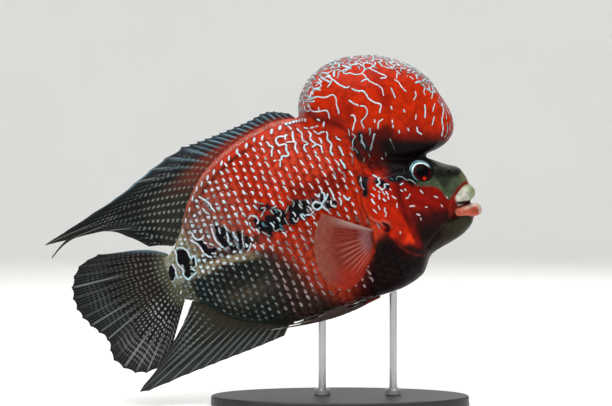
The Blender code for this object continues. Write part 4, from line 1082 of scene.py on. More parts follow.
def gill_cover(side):
    """Plate over the gills that grows out of the cheek and ends in a free rounded edge."""
    share = np.linspace(0, 1, 41)[:, None]
    z = np.linspace(COVER_BOTTOM - 1, COVER_TOP + 0.8, 81)[None, :]
    rear, front = smooth(COVER_REAR, z), smooth(COVER_FRONT, z) + 3
    x = rear + (front - rear) * share
    edge = np.minimum(share * 9, 1) ** 0.5
    ends = np.sqrt(np.clip(np.minimum(z - COVER_BOTTOM + 1, COVER_TOP + 0.8 - z) / 5, 0, 1))
    fade = 1 - ramp(share, 0.45, 1.0)
    lift = (1.55 * fade + 0.15) * edge * ends - 0.35
    outer = side_point(x, z + 0 * x, side, lift)
    inner = side_point(x, z + 0 * x, side, np.full(lift.shape, -1.6))
    return slab(outer, inner)


def fleshy_foot(x, height, along_y, low, high, half):
    """Fleshy band at the foot of an unpaired fin: from low to high past the body's edge, this thick."""
    turn = np.linspace(0, 2 * math.pi, 21)[:, None]
    middle = (low + high) / 2
    reach = (high - low) / 2
    z = height + middle + reach * np.sin(turn)
    y = half * np.cos(turn) * (1 - 0.35 * np.sin(turn)) + 0 * x
    return tube(np.stack(np.broadcast_arrays(x, y + along_y, z), -1))


def pectoral_lobe(side):
    """Fleshy root of a pectoral fin."""
    (x0, z0), (x1, z1) = PECTORAL_FOOT
    middle = side_point((x0 + x1) / 2 + 1.5, (z0 + z1) / 2, side, -0.6)
    way = unit(side_point(x0, z0, side) - side_point(x1, z1, side))
    out = unit(side_point(x0, z0, side, 1.0) - side_point(x0, z0, side, 0.0))
    axes = np.stack([unit(np.cross(way, out)), out, way], 1)
    return ball(middle, (3.4, 1.9, 7.6), axes)


def body_solid(inset):
    """Trunk, stalk and head as one loft, with the mouth cut open."""
    share = np.linspace(0, 1, 241)
    eased = 0.4 * share + 0.6 * (1 - np.cos(math.pi * share)) / 2
    x = TAIL_END + (SNOUT_END - TAIL_END) * eased
    angle = np.linspace(0, 2 * math.pi, 113)
    body = tube(section(x[None, :], angle[:, None], -inset))
    mouth = ball((188, 0, -17.8), (15, 10.0, 1.9), segments=40, rings=24)
    obj = bpy.data.objects.new("body", to_mesh("body", body))
    tool = bpy.data.objects.new("mouth", to_mesh("mouth", mouth))
    for piece in (obj, tool):
        bpy.context.scene.collection.objects.link(piece)
    cut = obj.modifiers.new("mouth", "BOOLEAN")
    cut.operation = "DIFFERENCE"
    cut.solver = "EXACT"
    cut.object = tool
    return applied(obj, tool)


def applied(obj, *tools):
    """The object's mesh with its modifiers applied, as a bmesh; the objects are removed."""
    bpy.context.view_layer.update()
    result = obj.evaluated_get(bpy.context.evaluated_depsgraph_get())
    mesh = bpy.data.meshes.new_from_object(result)
    for piece in (obj, *tools):
        bpy.data.objects.remove(piece)
    bm = bmesh.new()
    bm.from_mesh(mesh)
    bpy.data.meshes.remove(mesh)
    return bm


def hump_solid():
    bm = bmesh.new()
    bmesh.ops.create_uvsphere(bm, u_segments=128, v_segments=96, radius=1.0)
    power = 2 / HUMP_FULLNESS
    lean_c, lean_s = math.cos(HUMP_LEAN), math.sin(HUMP_LEAN)
    for v in bm.verts:
        flat = math.hypot(v.co.x, v.co.z)
        grow = flat ** power / flat * shoulder_cut(math.atan2(v.co.z, v.co.x)) if flat > 0 else 1.0
        a = v.co.x * grow * (HUMP_RADII[0] - 0.15)
        b = math.copysign(abs(v.co.y) ** power, v.co.y) * (HUMP_RADII[1] - 0.15)
        c = v.co.z * grow * (HUMP_RADII[2] - 0.15)
        z = HUMP_CENTRE[2] - a * lean_s + c * lean_c
        rise = (z - HUMP_FLOOR) / HUMP_SOFTNESS
        z = z if rise > 30 else HUMP_FLOOR + HUMP_SOFTNESS * math.log1p(math.exp(rise))
        v.co = (HUMP_CENTRE[0] + a * lean_c + c * lean_s, b, z)
    return bm


def relief(p, normal):
    """How far each point of the skin moves out along its normal, in millimetres."""
    x, y, z = p[:, 0], np.abs(p[:, 1]), p[:, 2]
    out = np.zeros(len(p))

    def crease(line, depth, width, shoulder=0.0):
        nonlocal out
        d = line_distance(x, z, line)
        out -= depth * np.exp(-(d / width) ** 2) * flank
        if shoulder:
            out += shoulder * np.exp(-((d - 2.4 * width) / (1.6 * width)) ** 2) * flank

    flank = ramp(y, 4, 8)
    crease(PREOPERCLE, 0.75, 1.1, 0.25)
    for fold in GILL_FOLDS:
        out += 0.35 * np.exp(-(line_distance(x, z, fold) / 0.6) ** 2) * flank
    crease(MOUTH_FOLD, 0.9, 1.1, 0.3)
    crease(SNOUT_EDGE[:5], 0.3, 1.0)
    crease(JAW_CREASE, 0.7, 1.0, 0.2)
    crease(((146, 4), (140, -2), (134, -4)), 0.2, 1.2)
    crease(((152, 14), (144, 15), (134, 15.5), (127, 19)), 0.3, 1.3)
    out += 0.8 * np.exp(-(np.hypot(x - 160, z + 12) / 9) ** 2) * flank
    out += 0.9 * np.exp(-(np.hypot((x - 139.6) / 2.6, (z + 25.5) / 4.6)) ** 2) * flank
    flank = 1.0
    crease(HUMP_CREASE, 0.8, 1.6)
    depth = smooth(BACK, x) - z
    out -= 0.55 * np.exp(-((depth - 7.3) / 0.9) ** 2) * ramp(x, 16, 28) * ramp(x, 84, 64)
    out += 0.3 * np.exp(-((depth - 4.4) / 1.9) ** 2) * ramp(x, 16, 28) * ramp(x, 100, 84)
    out -= 1.0 * np.exp(-(line_distance(x, z, ((128.4, -17.4), (130.4, -13.6))) / 1.1) ** 2) * ramp(y, 4, 8)
    pit = np.hypot(x - NOSTRIL[0], z - NOSTRIL[1])
    out += (0.45 * np.exp(-((pit - 1.9) / 0.6) ** 2) - 1.3 * np.exp(-(pit / 1.1) ** 2)) * ramp(y, 3, 5)
    on_hump = ramp(hump_reach(p), 1.1, 1.0) * ramp(z, 20, 30)
    lumps = np.sin(0.21 * x + 1.3) * np.sin(0.24 * z + 0.17 * y) + 0.6 * np.sin(0.43 * x + 0.31 * z + 0.2 * y)
    out += 0.16 * lumps * on_hump
    throat = ramp(y, 9, 3) * ramp(z, -34, -38) * ramp(x, 128, 136) * ramp(x, 172, 160)
    out += 0.25 * np.sin(2.2 * y + 0.05 * x) * throat
    for shape, low in ((UPPER_LIP, True), (LOWER_LIP, False)):
        centre = shape["front"]
        near = ramp(x, 176, 180) * np.exp(-((z - centre) / (shape["thick"] * 0.8)) ** 2)
        out += 0.09 * np.sin(1.7 * p[:, 1] + (0.6 if low else 0.0)) * near
    return out


def lip_colour(p, colour):
    """Paint the lips over the skin's own colours, with painted shade in the gap between them."""
    x, z = p[:, 0], p[:, 2]
    near = np.flatnonzero(x > 168)
    for shape, front, body, rim in ((UPPER_LIP, 175, (186, 186, 172), (128, 142, 108)),
                                    (LOWER_LIP, 171, (168, 62, 38), (188, 166, 148))):
        turn = np.linspace(-math.pi / 2, math.pi / 2, 61)
        bend = np.cos(turn)
        line = np.stack([LIP_BACK + shape["reach"] * bend, LIP_HALF_WIDTH * np.sin(turn),
                         shape["corner"] + (shape["front"] - shape["corner"]) * bend], -1)
        thick = LIP_CORNER_THICK + (shape["thick"] - LIP_CORNER_THICK) * bend
        gap = np.linalg.norm(p[near, None, :] - line[None], axis=2) / thick[None]
        closest = gap.min(1)
        share = (ramp(closest, 1.32, 1.1) * ramp(p[near, 0], front - 2, front))[:, None]
        forward = LIP_BACK + shape["reach"] + 1.5 - p[near, 0]
        edge = ramp(forward, 5.5, 1.0) if shape is UPPER_LIP else ramp(p[near, 2], -21.6, -20.0) * ramp(forward, 13, 8)
        if shape is LOWER_LIP:
            edge = np.maximum(edge, 0.8 * ramp(forward, 2.4, 0.8))
        tint = linear(body) * (1 - edge[:, None]) + linear(rim) * edge[:, None]
        pink = (0.55 * ramp(p[near, 0], 187.0, 173.0))[:, None] * (shape is LOWER_LIP)
        tint = tint * (1 - pink) + linear((196, 120, 96)) * pink
        fleck = ramp(wander(p[near, 0] + p[near, 1], p[near, 2], 0.9, 4), 0.55, 0.8)[:, None] * 0.5
        tint = tint * (1 - fleck) + linear((70, 60, 46)) * fleck * (shape is UPPER_LIP) + tint * fleck * (shape is LOWER_LIP)
        colour[near] = colour[near] * (1 - share) + tint * share
    # Painted shade: a dark line in the mouth's gap between the lips.
    inside = (ramp(np.abs(z + 17.6 + 0.25 * (x - 183)), 1.3, 0.7) * ramp(x, 172, 175) * ramp(x, 183.5, 181.5))[:, None]
    return colour * (1 - inside) + linear((44, 10, 10)) * inside


class FISH_OT_skin(bpy.types.Operator):
    """One skin over trunk, head, hump, jaw and gill covers"""

    bl_idname = "fish.skin"
    bl_label = "Skin"

    def execute(self, context):
        look = context.scene.fish_skin
        x = np.linspace(3.0, 101.0, 99)[None, :]
        parts = [body_solid(look.inset), hump_solid(), lip(UPPER_LIP), lip(LOWER_LIP)]
        for side in (1, -1):
            parts += [orbit(side), gill_cover(side), pectoral_lobe(side)]
        taper = 0.7 + 0.3 * ramp(x, 0, 30)
        parts.append(fleshy_foot(x, smooth(BACK, x), 0.0, -4.0, 1.3 * taper, 2.2 * taper))
        x = np.linspace(2.0, 55.0, 54)[None, :]
        parts.append(fleshy_foot(x, smooth(BELLY, x), -0.2, -1.5, 3.6, 1.8))
        z = np.linspace(-14.0, 14.8, 41)[None, :]
        turn = np.linspace(0, 2 * math.pi, 21)[:, None]
        foot = np.stack(np.broadcast_arrays(-3.4 + 4.0 * np.cos(turn), 1.5 * np.sin(turn) + 0 * z, z), -1)
        parts.append(tube(foot))
        obj = bpy.data.objects.new("skin", to_mesh("skin", merge(parts)))
        context.scene.collection.objects.link(obj)
        step = obj.modifiers.new("one skin", "REMESH")
        step.mode = "VOXEL"
        step.voxel_size = look.fineness
        bm = applied(obj)
        bmesh.ops.smooth_vert(bm, verts=bm.verts, factor=0.5, use_axis_x=True, use_axis_y=True, use_axis_z=True)
        face = [f for f in bm.faces if f.calc_center_median().x > 166 and f.calc_center_median().z < 12]
        edges = list({e for f in face for e in f.edges})
        bmesh.ops.subdivide_edges(bm, edges=edges, cuts=1, use_grid_fill=True)
        bmesh.ops.smooth_vert(bm, verts=bm.verts, factor=0.5, use_axis_x=True, use_axis_y=True, use_axis_z=True)
        bmesh.ops.recalc_face_normals(bm, faces=bm.faces)
        mesh = to_mesh("fish_skin", bm)
        p = places(mesh)
        normal = np.empty(p.size)
        mesh.vertex_normals.foreach_get("vector", normal)
        normal = normal.reshape(-1, 3)
        p = p + normal * relief(p, normal)[:, None]
        move(mesh, p)
        keep_colour(mesh, "Paint", lip_colour(p, coat_colour(p, look)))
        keep_blotches(mesh, p)
        SHARED["skin"] = BVHTree.FromPolygons([tuple(q) for q in p], [tuple(f.vertices) for f in mesh.polygons])
        move(mesh, pose(p))
        show(mesh, skin_material(look), ("head", "nuchal_hump", "lower_jaw", "gill_cover_left", "gill_cover_right",
                                         "trunk", "tail_stalk"))
        return {"FINISHED"}


SHARED = {}


def scale_grid(look):
    """Root of every scale of one side: station, arc length up from the flank, length and half width."""
    table = SHARED["side"]
    rows = []
    x = 151.0
    column = 0
    while x > 1.5:
        fine = float(smooth(((0, 0.66), (22, 0.72), (46, 0.88), (70, 1.0), (150, 1.0)), x))
        pitch = look.row * fine
        up, down = np.interp(x, table["x"], table["up"]), np.interp(x, table["x"], table["down"])
        first = -int(down / pitch) - 1
        for k in range(first, int(up / pitch) + 2):
            s = (k + 0.5 * (column % 2)) * pitch
            if -down + 0.4 * pitch < s < up - 0.15 * pitch:
                rows.append((x, s, look.column * fine * look.overlap, pitch * 0.56))
        x -= look.column * fine
        column += 1
    rows = np.array(rows)
    point, _ = on_side(table, rows[:, 0], rows[:, 1], 1)
    z = point[:, 2]
    length = rows[:, 2]
    open_at = np.where(z < COVER_TOP, smooth(COVER_REAR, z), 137.0)
    clear = rows[:, 0] - length * 0.55 < open_at
    tip, _ = on_side(table, rows[:, 0] - length * 0.6, rows[:, 1], 1)
    clear &= hump_reach(tip) > 1.0
    clear &= (z > -46) | (rows[:, 0] < 120)
    clear &= smooth(BACK, rows[:, 0]) - z > smooth(((0, 4), (16, 6.4), (64, 6.9), (90, 4.5), (112, 2.0)), rows[:, 0])
    return rows[clear]


def scale_height(u, v, lift):
    """Height of a scale's outer face over the skin, by share of its length and of its half width."""
    return -0.3 + (lift + 0.3) * u ** 0.8 - 0.1 * v * v * u


def on_scale(rows, u, v, w, side, look):
    """Points at u along and v across each scale, w over its outer face."""
    x = rows[:, 0:1] - rows[:, 2:3] * u
    s = rows[:, 1:2] + rows[:, 3:4] * v
    point, normal = on_side(SHARED["side"], x, s, side)
    return point + normal * (scale_height(u, v, look.lift) + w)[..., None]


def bake_place(x, s, side):
    """Place on an unwrap of the body's sides, from 0 to 1."""
    u = 0.02 + 0.96 * (np.asarray(x) + 10) / 205
    v = 0.25 + 0.23 * np.clip(np.asarray(s) / 75, -1, 1)
    return u, v + (0.5 if side > 0 else 0.0)


class FISH_OT_scales(bpy.types.Operator):
    """Overlapping scales of both sides"""

    bl_idname = "fish.scales"
    bl_label = "Scales"

    def execute(self, context):
        look, skin = context.scene.fish_scales, context.scene.fish_skin
        SHARED["side"] = side_map(-skin.inset)
        rows = SHARED["rows"] = scale_grid(look)
        for side, word in ((1, "left"), (-1, "right")):
            self.lay(rows, side, word, look, skin)
        return {"FINISHED"}

    def lay(self, rows, side, word, look, skin):
        bm, corner = grid(5, 5)
        top = list(bm.verts)
        bmesh.ops.extrude_face_region(bm, geom=bm.faces[:])
        count = len(top)
        local = []
        bm.verts.ensure_lookup_table()
        for index, v in enumerate(bm.verts):
            across, length = divmod(v[corner], 6)
            across, length = across / 2.5 - 1, length / 5
            rounded = length * (1 - 0.34 * across * across * length)
            narrow = across * (1 - 0.12 * (1 - length)) * (1 - 0.1 * length ** 4)
            local.append((rounded, narrow, 0.0 if index < count else -0.18))
            v.co = (rounded, narrow, local[-1][2])
        bm.normal_update()
        bmesh.ops.recalc_face_normals(bm, faces=bm.faces)
        local = np.array(local)
        mesh = to_mesh(f"scales_{word}", repeated(bm, len(rows)))
        u = np.broadcast_to(local[:, 0], (len(rows), len(local)))
        v = np.broadcast_to(local[:, 1], u.shape)
        p = on_scale(rows, u, v, local[:, 2] + 0 * u, side, look).reshape(-1, 3)
        move(mesh, p)
        bm = bmesh.new()
        bm.from_mesh(mesh)
        bmesh.ops.recalc_face_normals(bm, faces=bm.faces)
        bm.to_mesh(mesh)
        bm.free()
        keep_colour(mesh, "Paint", coat_colour(p, skin))
        keep_blotches(mesh, p)
        keep_number(mesh, "Along", u)
        keep_number(mesh, "Across", v)
        root_u, root_v = bake_place(rows[:, 0:1], rows[:, 1:2], side)
        uv = np.stack([root_u + 0.003 * u, root_v + 0.0015 * v], -1)
        keep_map(mesh, "OFBake", uv.reshape(-1, 2))
        move(mesh, pose(p))
        show(mesh, scale_material(skin), ("trunk",))


def bead(segments=8, rings=5):
    """Low rounded bead with its long axis along z."""
    bm = bmesh.new()
    bmesh.ops.create_uvsphere(bm, u_segments=segments, v_segments=rings, radius=1.0)
    return bm


class FISH_OT_pearls(bpy.types.Operator):
    """Pearl marks on scales, head and hump"""

    bl_idname = "fish.pearls"
    bl_label = "Pearl marks"

    def execute(self, context):
        look = context.scene.fish_scales
        material = pearl_material()
        for side, word in ((1, "left"), (-1, "right")):
            self.on_scales(side, word, look, material)
            self.on_head(side, word, material)
            self.on_back(side, word, material)
        self.on_crown(material)
        return {"FINISHED"}

    def on_scales(self, side, word, look, material):
        """One mark on each scale: upright dashes, long ones low on the flank and round spots to the rear."""
        rows = SHARED["rows"]
        chance, shift, size = (scatter(rows[:, 0], rows[:, 1], side + 3 * k) for k in range(3))
        middle = 0.74 + (shift - 0.5) * 0.8 / rows[:, 2]
        point, _ = on_side(SHARED["side"], rows[:, 0] - rows[:, 2] * middle, rows[:, 1], 1)
        x, z = seen(point)
        rear = ramp(x, 50, 34) * ramp(z, -7, -1)
        low = ramp(z, 1, -7) * ramp(x, 46, 58)
        belly = ramp(z, 0, -6) * ramp(x, 60, 46)
        half = 1.75 + 0.3 * ramp(z, 10, 34) * ramp(x, 60, 80) - 0.65 * rear + 0.6 * low - 0.5 * belly
        half *= 0.75 + 0.5 * size
        wide = (0.6 + 0.34 * rear + 0.12 * low + 0.14 * ramp(x, 84, 60)) * (0.85 + 0.3 * chance)
        tone = 0.98 - 0.2 * rear - 0.42 * low - 0.62 * belly - 0.3 * (chance < 0.25)
        tone += 0.35 * ramp(np.abs(z + 1), 6, 2) * ramp(x, 54, 40)
        inside = blotch_distance(point) < -0.5
        teal = ((x > 50) & (x < 86) & (size > 0.45) & inside).astype(float)
        shown = (chance > 0.04) & (z > -44) & (~inside | (teal > 0))
        shown &= (x < smooth(((13, 121), (24, 121), (33, 124), (49, 129)), z)) | (z < 15)
        shown &= (x < 112 + 0.25 * (z + 40)) | (z > -13)
        for line in BACK_LINES:
            shown &= line_distance(x, z, line) > 2.6
        for _, line in BLOTCH_EDGES:
            shown &= line_distance(x, z, line) > 1.5
        shown &= line_distance(x, z, FOOT_PEARLS) > 2.3
        marks = np.stack([middle, half, wide, tone, teal, chance, size, (size - 0.5) * 1.5], -1)
        self.strew(f"pearls_{word}", bead(), rows[shown], marks[shown], side, look, material)
        near = ramp(x, 70, 40) * ramp(z, 52, 30) * ramp(z, -6, 0)
        specks = shown & (np.maximum(near, ramp(z, 20, 4) * ramp(z, -8, -2) * ramp(x, 104, 90)) > shift)
        hand = np.where(chance > 0.5, 1.0, -1.0)
        marks = np.stack([middle - 0.16, 0.4 + 0.4 * size, 0.35 + 0.25 * shift, 0.25 + 0.4 * chance, 0 * teal, chance, size,
                          hand * (1.3 + 0.4 * size) * ramp(x, 0, 30)], -1)
        self.strew(f"specks_{word}", bead(6, 4), rows[specks], marks[specks], side, look, material)

    def strew(self, name, bm, rows, marks, side, look, material):
        """Lay one copy of a small shape on each scale, by the place, size, tone and bend of its mark."""
        middle, half, wide, tone, teal, chance, size, aside = np.moveaxis(marks[:, None, :], -1, 0)
        local = np.array([tuple(v.co) for v in bm.verts])
        mesh = to_mesh(name, repeated(bm, len(rows)))
        up, across, rise = local[:, 2][None, :], local[:, 0][None, :], local[:, 1][None, :]
        bend = half * (0.7 * (chance - 0.4) * (up * up - 0.4) + (0.1 + 0.25 * size) * up)
        swell = 1 + 0.3 * np.sin(2.4 * up + 6 * chance)
        u = middle + (across * wide * swell + bend) / rows[:, 2:3]
        v = (up * half + aside) / rows[:, 3:4]
        p = on_scale(rows, u, v, 0.05 + 0.2 * rise, side, look).reshape(-1, 3)
        tone = tone - 0.45 * ramp(rise, 0.5, 0.1) + 0 * up
        keep_colour(mesh, "Paint", pearl_colour(p, tone.ravel(), bpy.context.scene.fish_skin, (teal + 0 * up).ravel()))
        root_u, root_v = bake_place(rows[:, 0:1] - middle * rows[:, 2:3], rows[:, 1:2], side)
        keep_map(mesh, "OFBake", np.stack([root_u + 0.0015 * across, root_v + 0.0015 * up], -1).reshape(-1, 2))
        move(mesh, pose(p))
        bm = bmesh.new()
        bm.from_mesh(mesh)
        bmesh.ops.recalc_face_normals(bm, faces=bm.faces)
        bm.to_mesh(mesh)
        bm.free()
        show(mesh, material, ("trunk",))

    def on_head(self, side, word, material):
        """Long wandering lines of the hump's side, and the small marks of the cheek."""
        parts = []
        for number, line in enumerate(HUMP_LINES):
            half = 0.42 + 0.12 * scatter(number, 3)
            parts.append(self.stroke(self.laid(self.rounded(line, 0.8), side), half, 0.9))
        for number, (x, z) in enumerate(HUMP_DOTS):
            parts.append(self.stroke(self.laid(np.array(((x, z + 0.7), (x - 0.2, z - 0.7))), side), 0.6, 0.95))
        for number, line in enumerate(FACE_MARKS):
            parts.append(self.stroke(self.laid(self.rounded(line, 0.7), side), 0.4 + 0.2 * scatter(number, 5), 0.95))
        for bright, line in FAINT_LINES[:3]:
            parts.append(self.stroke(self.laid(self.rounded(line, 0.7), side), 0.34, bright))
        self.finish(f"head_pearls_{word}", parts, material, ("nuchal_hump", "head"), "nuchal_hump")

    def on_back(self, side, word, material):
        """Marks that run over the scales: behind the hump, round the blotches and along the foot of the back fin."""
        parts = []

        def over(line, half, tone, lift=BACK_LIFT):
            points, normals = self.laid(line, side)
            parts.append(self.stroke((points + normals * lift, normals), half, tone))

        for number, line in enumerate(BACK_LINES):
            over(self.rounded(line, 0.8), 0.56 + 0.14 * scatter(number, 6), 0.95)
        for number, (bright, line) in enumerate(BLOTCH_EDGES):
            over(self.rounded(line, 0.7), 0.36 + 0.26 * bright + 0.1 * scatter(number, 7), 0.3 + 0.6 * bright)
        for bright, line in FAINT_LINES[3:]:
            over(self.rounded(line, 0.7), 0.36, 0.2 + 0.65 * bright)
        for number, (x, z) in enumerate(FOOT_PEARLS):
            tall = 0.9 - 0.55 * ramp(x, 86, 93)
            path = np.array(((x + 0.6 * tall, z + tall), (x, z), (x - 0.5 * tall, z - tall)))
            half = 0.95 + 0.3 * ramp(x, 78, 84) - 0.15 * ramp(x, 40, 20)
            over(path, half * (0.85 + 0.3 * scatter(number, 2)), 0.95, 0.2 + 0.35 * ramp(x, 80, 92))
        for number, x in enumerate(np.arange(22.0, 92.0, 1.5)):
            z = smooth(BACK, x) - 0.9 - 0.4 * scatter(number, 12)
            over(np.array(((x + 0.25, z + 0.25), (x - 0.25, z - 0.25))), 0.3 + 0.2 * scatter(number, 13), 0.4 + 0.5 * scatter(number, 14), 0.0)
        for number in range(90):
            x, z = -7 + 10 * scatter(number, 21), -15 + 31 * scatter(number, 22)
            if blotch_distance(np.array((x, 0.0, z))) > 1.0:
                half, tone = 0.3 + 0.3 * scatter(number, 23), 0.3 + 0.5 * scatter(number, 24)
                over(np.array(((x + 0.3, z + 0.2), (x - 0.3, z - 0.2))), half, tone, 0.0)
        self.finish(f"back_pearls_{word}", parts, material, ("trunk",), "trunk")

    def on_crown(self, material):
        """Net of pale lines over the top and back of the hump, and upright lines down its front."""
        parts = []
        cell = 2.5
        high = cell * math.sqrt(3)
        columns, rows = int(math.radians(150) * 43 / (1.5 * cell)), 20

        def spot(i, j):
            """Corner j of column i of a honeycomb, shaken a little."""
            a = i * 1.5 * cell + (0.25 if (i + j) % 2 else -0.25) * cell
            b = (j - rows / 2) * high / 2
            a += 1.3 * (scatter(i, j, 1) - 0.5) * cell * 0.8
            b += 1.3 * (scatter(i, j, 2) - 0.5) * cell * 0.8
            return math.radians(44) + a / 43, b / 30

        for i in range(columns + 1):
            for j in range(rows + 1):
                links = [(i, j + 1)]
                if (i + j) % 2:
                    links.append((i + 1, j))
                for k, (i2, j2) in enumerate(links):
                    if j2 > rows or i2 > columns:
                        continue
                    off = abs(j - rows / 2) / (rows / 2)
                    if scatter(i, j, k + 5) < 0.06 + 0.66 * off ** 2:
                        continue
                    t = np.linspace(0, 1, 5)
                    a, b = np.array(spot(i, j)), np.array(spot(i2, j2))
                    path = a[None, :] + (b - a)[None, :] * t[:, None]
                    nominal = hump_point(path[:, 0], path[:, 1])
                    half = 0.5 + 0.4 * scatter(i, j, k + 11)
                    parts.append(self.stroke(self.snapped(nominal), half, 0.5 + 0.35 * scatter(i, j, k + 8)))
        for k in range(-4, 5):
            start = 46 - 3 * abs(k)
            while start > -22:
                reach = 7 + 16 * scatter(k, start, 4)
                t = np.linspace(0, 1, 12)
                turn = np.radians(start - reach * t)
                rise = np.radians(k * 6.5 + 1.6 * np.sin(turn * 14 + k))
                # Painted shade: the lines down the hump's front are dimmer the lower they start, towards its shaded
                # underside.
                tone = 0.4 + 0.3 * ramp(start, -10, 40)
                parts.append(self.stroke(self.snapped(hump_point(turn, rise)), 0.5, tone))
                start -= reach + 3.5 + 3 * scatter(k, start, 9)
        self.finish("crown_pearls", parts, material, ("nuchal_hump",), "nuchal_hump")

    def rounded(self, line, spacing):
        """Evenly spaced points on a rounded line through the corners."""
        line = np.array(line, float)
        t = np.linspace(0, 1, 12 * (len(line) - 1) + 1)
        fine = along(line, t)
        run = np.concatenate(([0], np.cumsum(np.linalg.norm(np.diff(fine, axis=0), axis=1))))
        count = max(2, int(run[-1] / spacing) + 1)
        even = np.linspace(0, run[-1], count)
        return np.stack([np.interp(even, run, fine[:, k]) for k in range(2)], -1)

    def laid(self, path, side):
        """Points of the skin, with its normals, over a path drawn as seen from the eye point."""
        start = Vector(EYE_POINT * (1, side, 1))
        found = []
        for x, z in path:
            aim = Vector((x, 0, z))
            hit = SHARED["skin"].ray_cast(start, (aim - start).normalized())
            if hit[0] is None:
                hit = SHARED["skin"].find_nearest(Vector((x, side * 1.0, z)))
            found.append((*hit[0], *hit[1]))
        found = np.array(found)
        return found[:, :3], unit(found[:, 3:])

    def snapped(self, nominal):
        hits = [SHARED["skin"].find_nearest(Vector(q)) for q in nominal]
        return np.array([tuple(h[0]) for h in hits]), unit(np.array([tuple(h[1]) for h in hits]))

    def stroke(self, laid, half, tone):
        """Low rounded strip along points of the skin, this wide to each side, and the tone of its vertices."""
        points, normals = laid
        way = unit(np.gradient(points, axis=0))
        across = unit(np.cross(way, normals))
        points = points + across * (0.25 * wander(points[:, 0], points[:, 2], 1.5, 31))[:, None]
        run = np.concatenate(([0], np.cumsum(np.linalg.norm(np.diff(points, axis=0), axis=1))))
        ends = [points[:1] - way[:1] * half * 0.7, points, points[-1:] + way[-1:] * half * 0.7]
        points = np.concatenate(ends)
        across = np.concatenate((across[:1], across, across[-1:]))
        normals = np.concatenate((normals[:1], normals, normals[-1:]))
        wave = 0.8 + 0.4 * scatter(np.arange(len(run)), run)
        size = np.concatenate(([0.3], wave, [0.3])) * half
        size[[1, -2]] = half * 0.85
        roll = np.linspace(0, 2 * math.pi, 7)[:, None]
        bm = tube(points[None] + across[None] * (np.cos(roll) * size)[..., None]
                  + normals[None] * (0.03 + 0.17 * np.sin(roll))[..., None])
        tones = (tone - 0.4 * (np.sin(roll) < 0.5) + 0 * size).ravel()
        corner = bm.verts.layers.int["corner"]
        return bm, np.array([tones[v[corner]] for v in bm.verts])

    def finish(self, name, parts, material, nodes, slot):
        tones = np.concatenate([tone for _, tone in parts])
        mesh = to_mesh(name, merge([bm for bm, _ in parts]))
        p = places(mesh)
        start = 0
        uv = np.empty((len(p), 2))
        for _, tone in parts:
            q = p[start:start + len(tone)]
            middle = q.mean(0)
            place = np.array(bake_place(middle[0], middle[2] - 20, middle[1])).ravel()
            spread = (q[:, [0, 2]] - q[:, [0, 2]].min(0)) / max(np.ptp(q[:, [0, 2]], axis=0).max(), 1e-6)
            uv[start:start + len(tone)] = place + 0.003 * spread
            start += len(tone)
        keep_colour(mesh, "Paint", pearl_colour(p, tones, bpy.context.scene.fish_skin))
        keep_map(mesh, "OFBake", uv)
        move(mesh, pose(p))
        show(mesh, material, nodes)


def branch_ridge(f, u, split, width):
    """Height from 0 to 1 of a fin ray and its branches at share f of the way to the next ray."""
    f = np.where(f > 0.5, f - 1, f)
    first = ramp(u, split, split + 0.18) * 0.25
    second = ramp(u, split + 0.3, split + 0.5) * 0.125
    best = np.zeros(np.broadcast(f, u).shape)
    for a in (-1, 1):
        for b in (-1, 1):
            d = np.abs(f - a * first - b * second)
            best = np.maximum(best, np.clip(1 - d / (width * (1 - 0.35 * ramp(u, split, 1))), 0, 1))
    return best


def fin_mesh(name, rays, rows, ray, look, root, tip, notch, split, steps=8, fine=0.11):
    """Fin with branching rays raised on a thin membrane.

    ray(k, u) gives points for ray numbers k, and look(k, u) the membrane's colour and how strongly
    the spots, the ray lines and the rim show."""
    k = np.linspace(0, rays - 1, (rays - 1) * steps + 1)[:, None]
    f = k - np.floor(k)
    u = np.linspace(0, 1, rows + 1)[None, :]
    short = 1 - notch(k) * (1 - (2 * f - 1) ** 2) * ramp(u, 0.3, 1)
    middle = ray(k, u * short)
    ridge = branch_ridge(f, u + 0 * f, split, 0.17)
    wave = (root + (tip - root) * u) / 2
    half = 0.16 + (wave - 0.16) * ridge ** 1.2
    half = half * (1 - 0.5 * ramp(u, 0.96, 1.0))
    normal = unit(np.cross(np.gradient(middle, axis=0), np.gradient(middle, axis=1)))
    bm = slab(middle + normal * half[..., None], middle - normal * half[..., None])
    corner = bm.verts.layers.int["corner"]
    index = np.array([v[corner] for v in bm.verts])
    mesh = to_mesh(name, bm)
    run = np.concatenate((np.zeros((len(k), 1)), np.cumsum(np.linalg.norm(np.diff(middle, axis=1), axis=2), 1)), 1)
    keep_number(mesh, "Ridge", ridge.ravel()[index])
    wide = 0.3 - 0.16 * ramp(u, split, split + 0.3)
    keep_number(mesh, "Row", branch_ridge(f, u + 0 * f, split, wide).ravel()[index])
    core = np.clip(1 - np.minimum(f, 1 - f) / fine, 0, 1)
    keep_number(mesh, "Run", run.ravel()[index])
    colour, *shares = look(k + 0 * u, u + 0 * k)
    keep_colour(mesh, "Paint", colour.reshape(-1, 3)[index])
    for word, value in zip(("Spots", "Lines", "Rim"), shares):
        keep_number(mesh, word, (value + 0 * k + 0 * u).ravel()[index])
    streak = shares[3] if len(shares) > 3 else 0.0
    keep_number(mesh, "Core", (streak * core + 0 * u).ravel()[index])
    keep_map(mesh, "Rays", np.stack([(k + 0 * u).ravel()[index], run.ravel()[index]], -1))
    move(mesh, pose(places(mesh)))
    return mesh


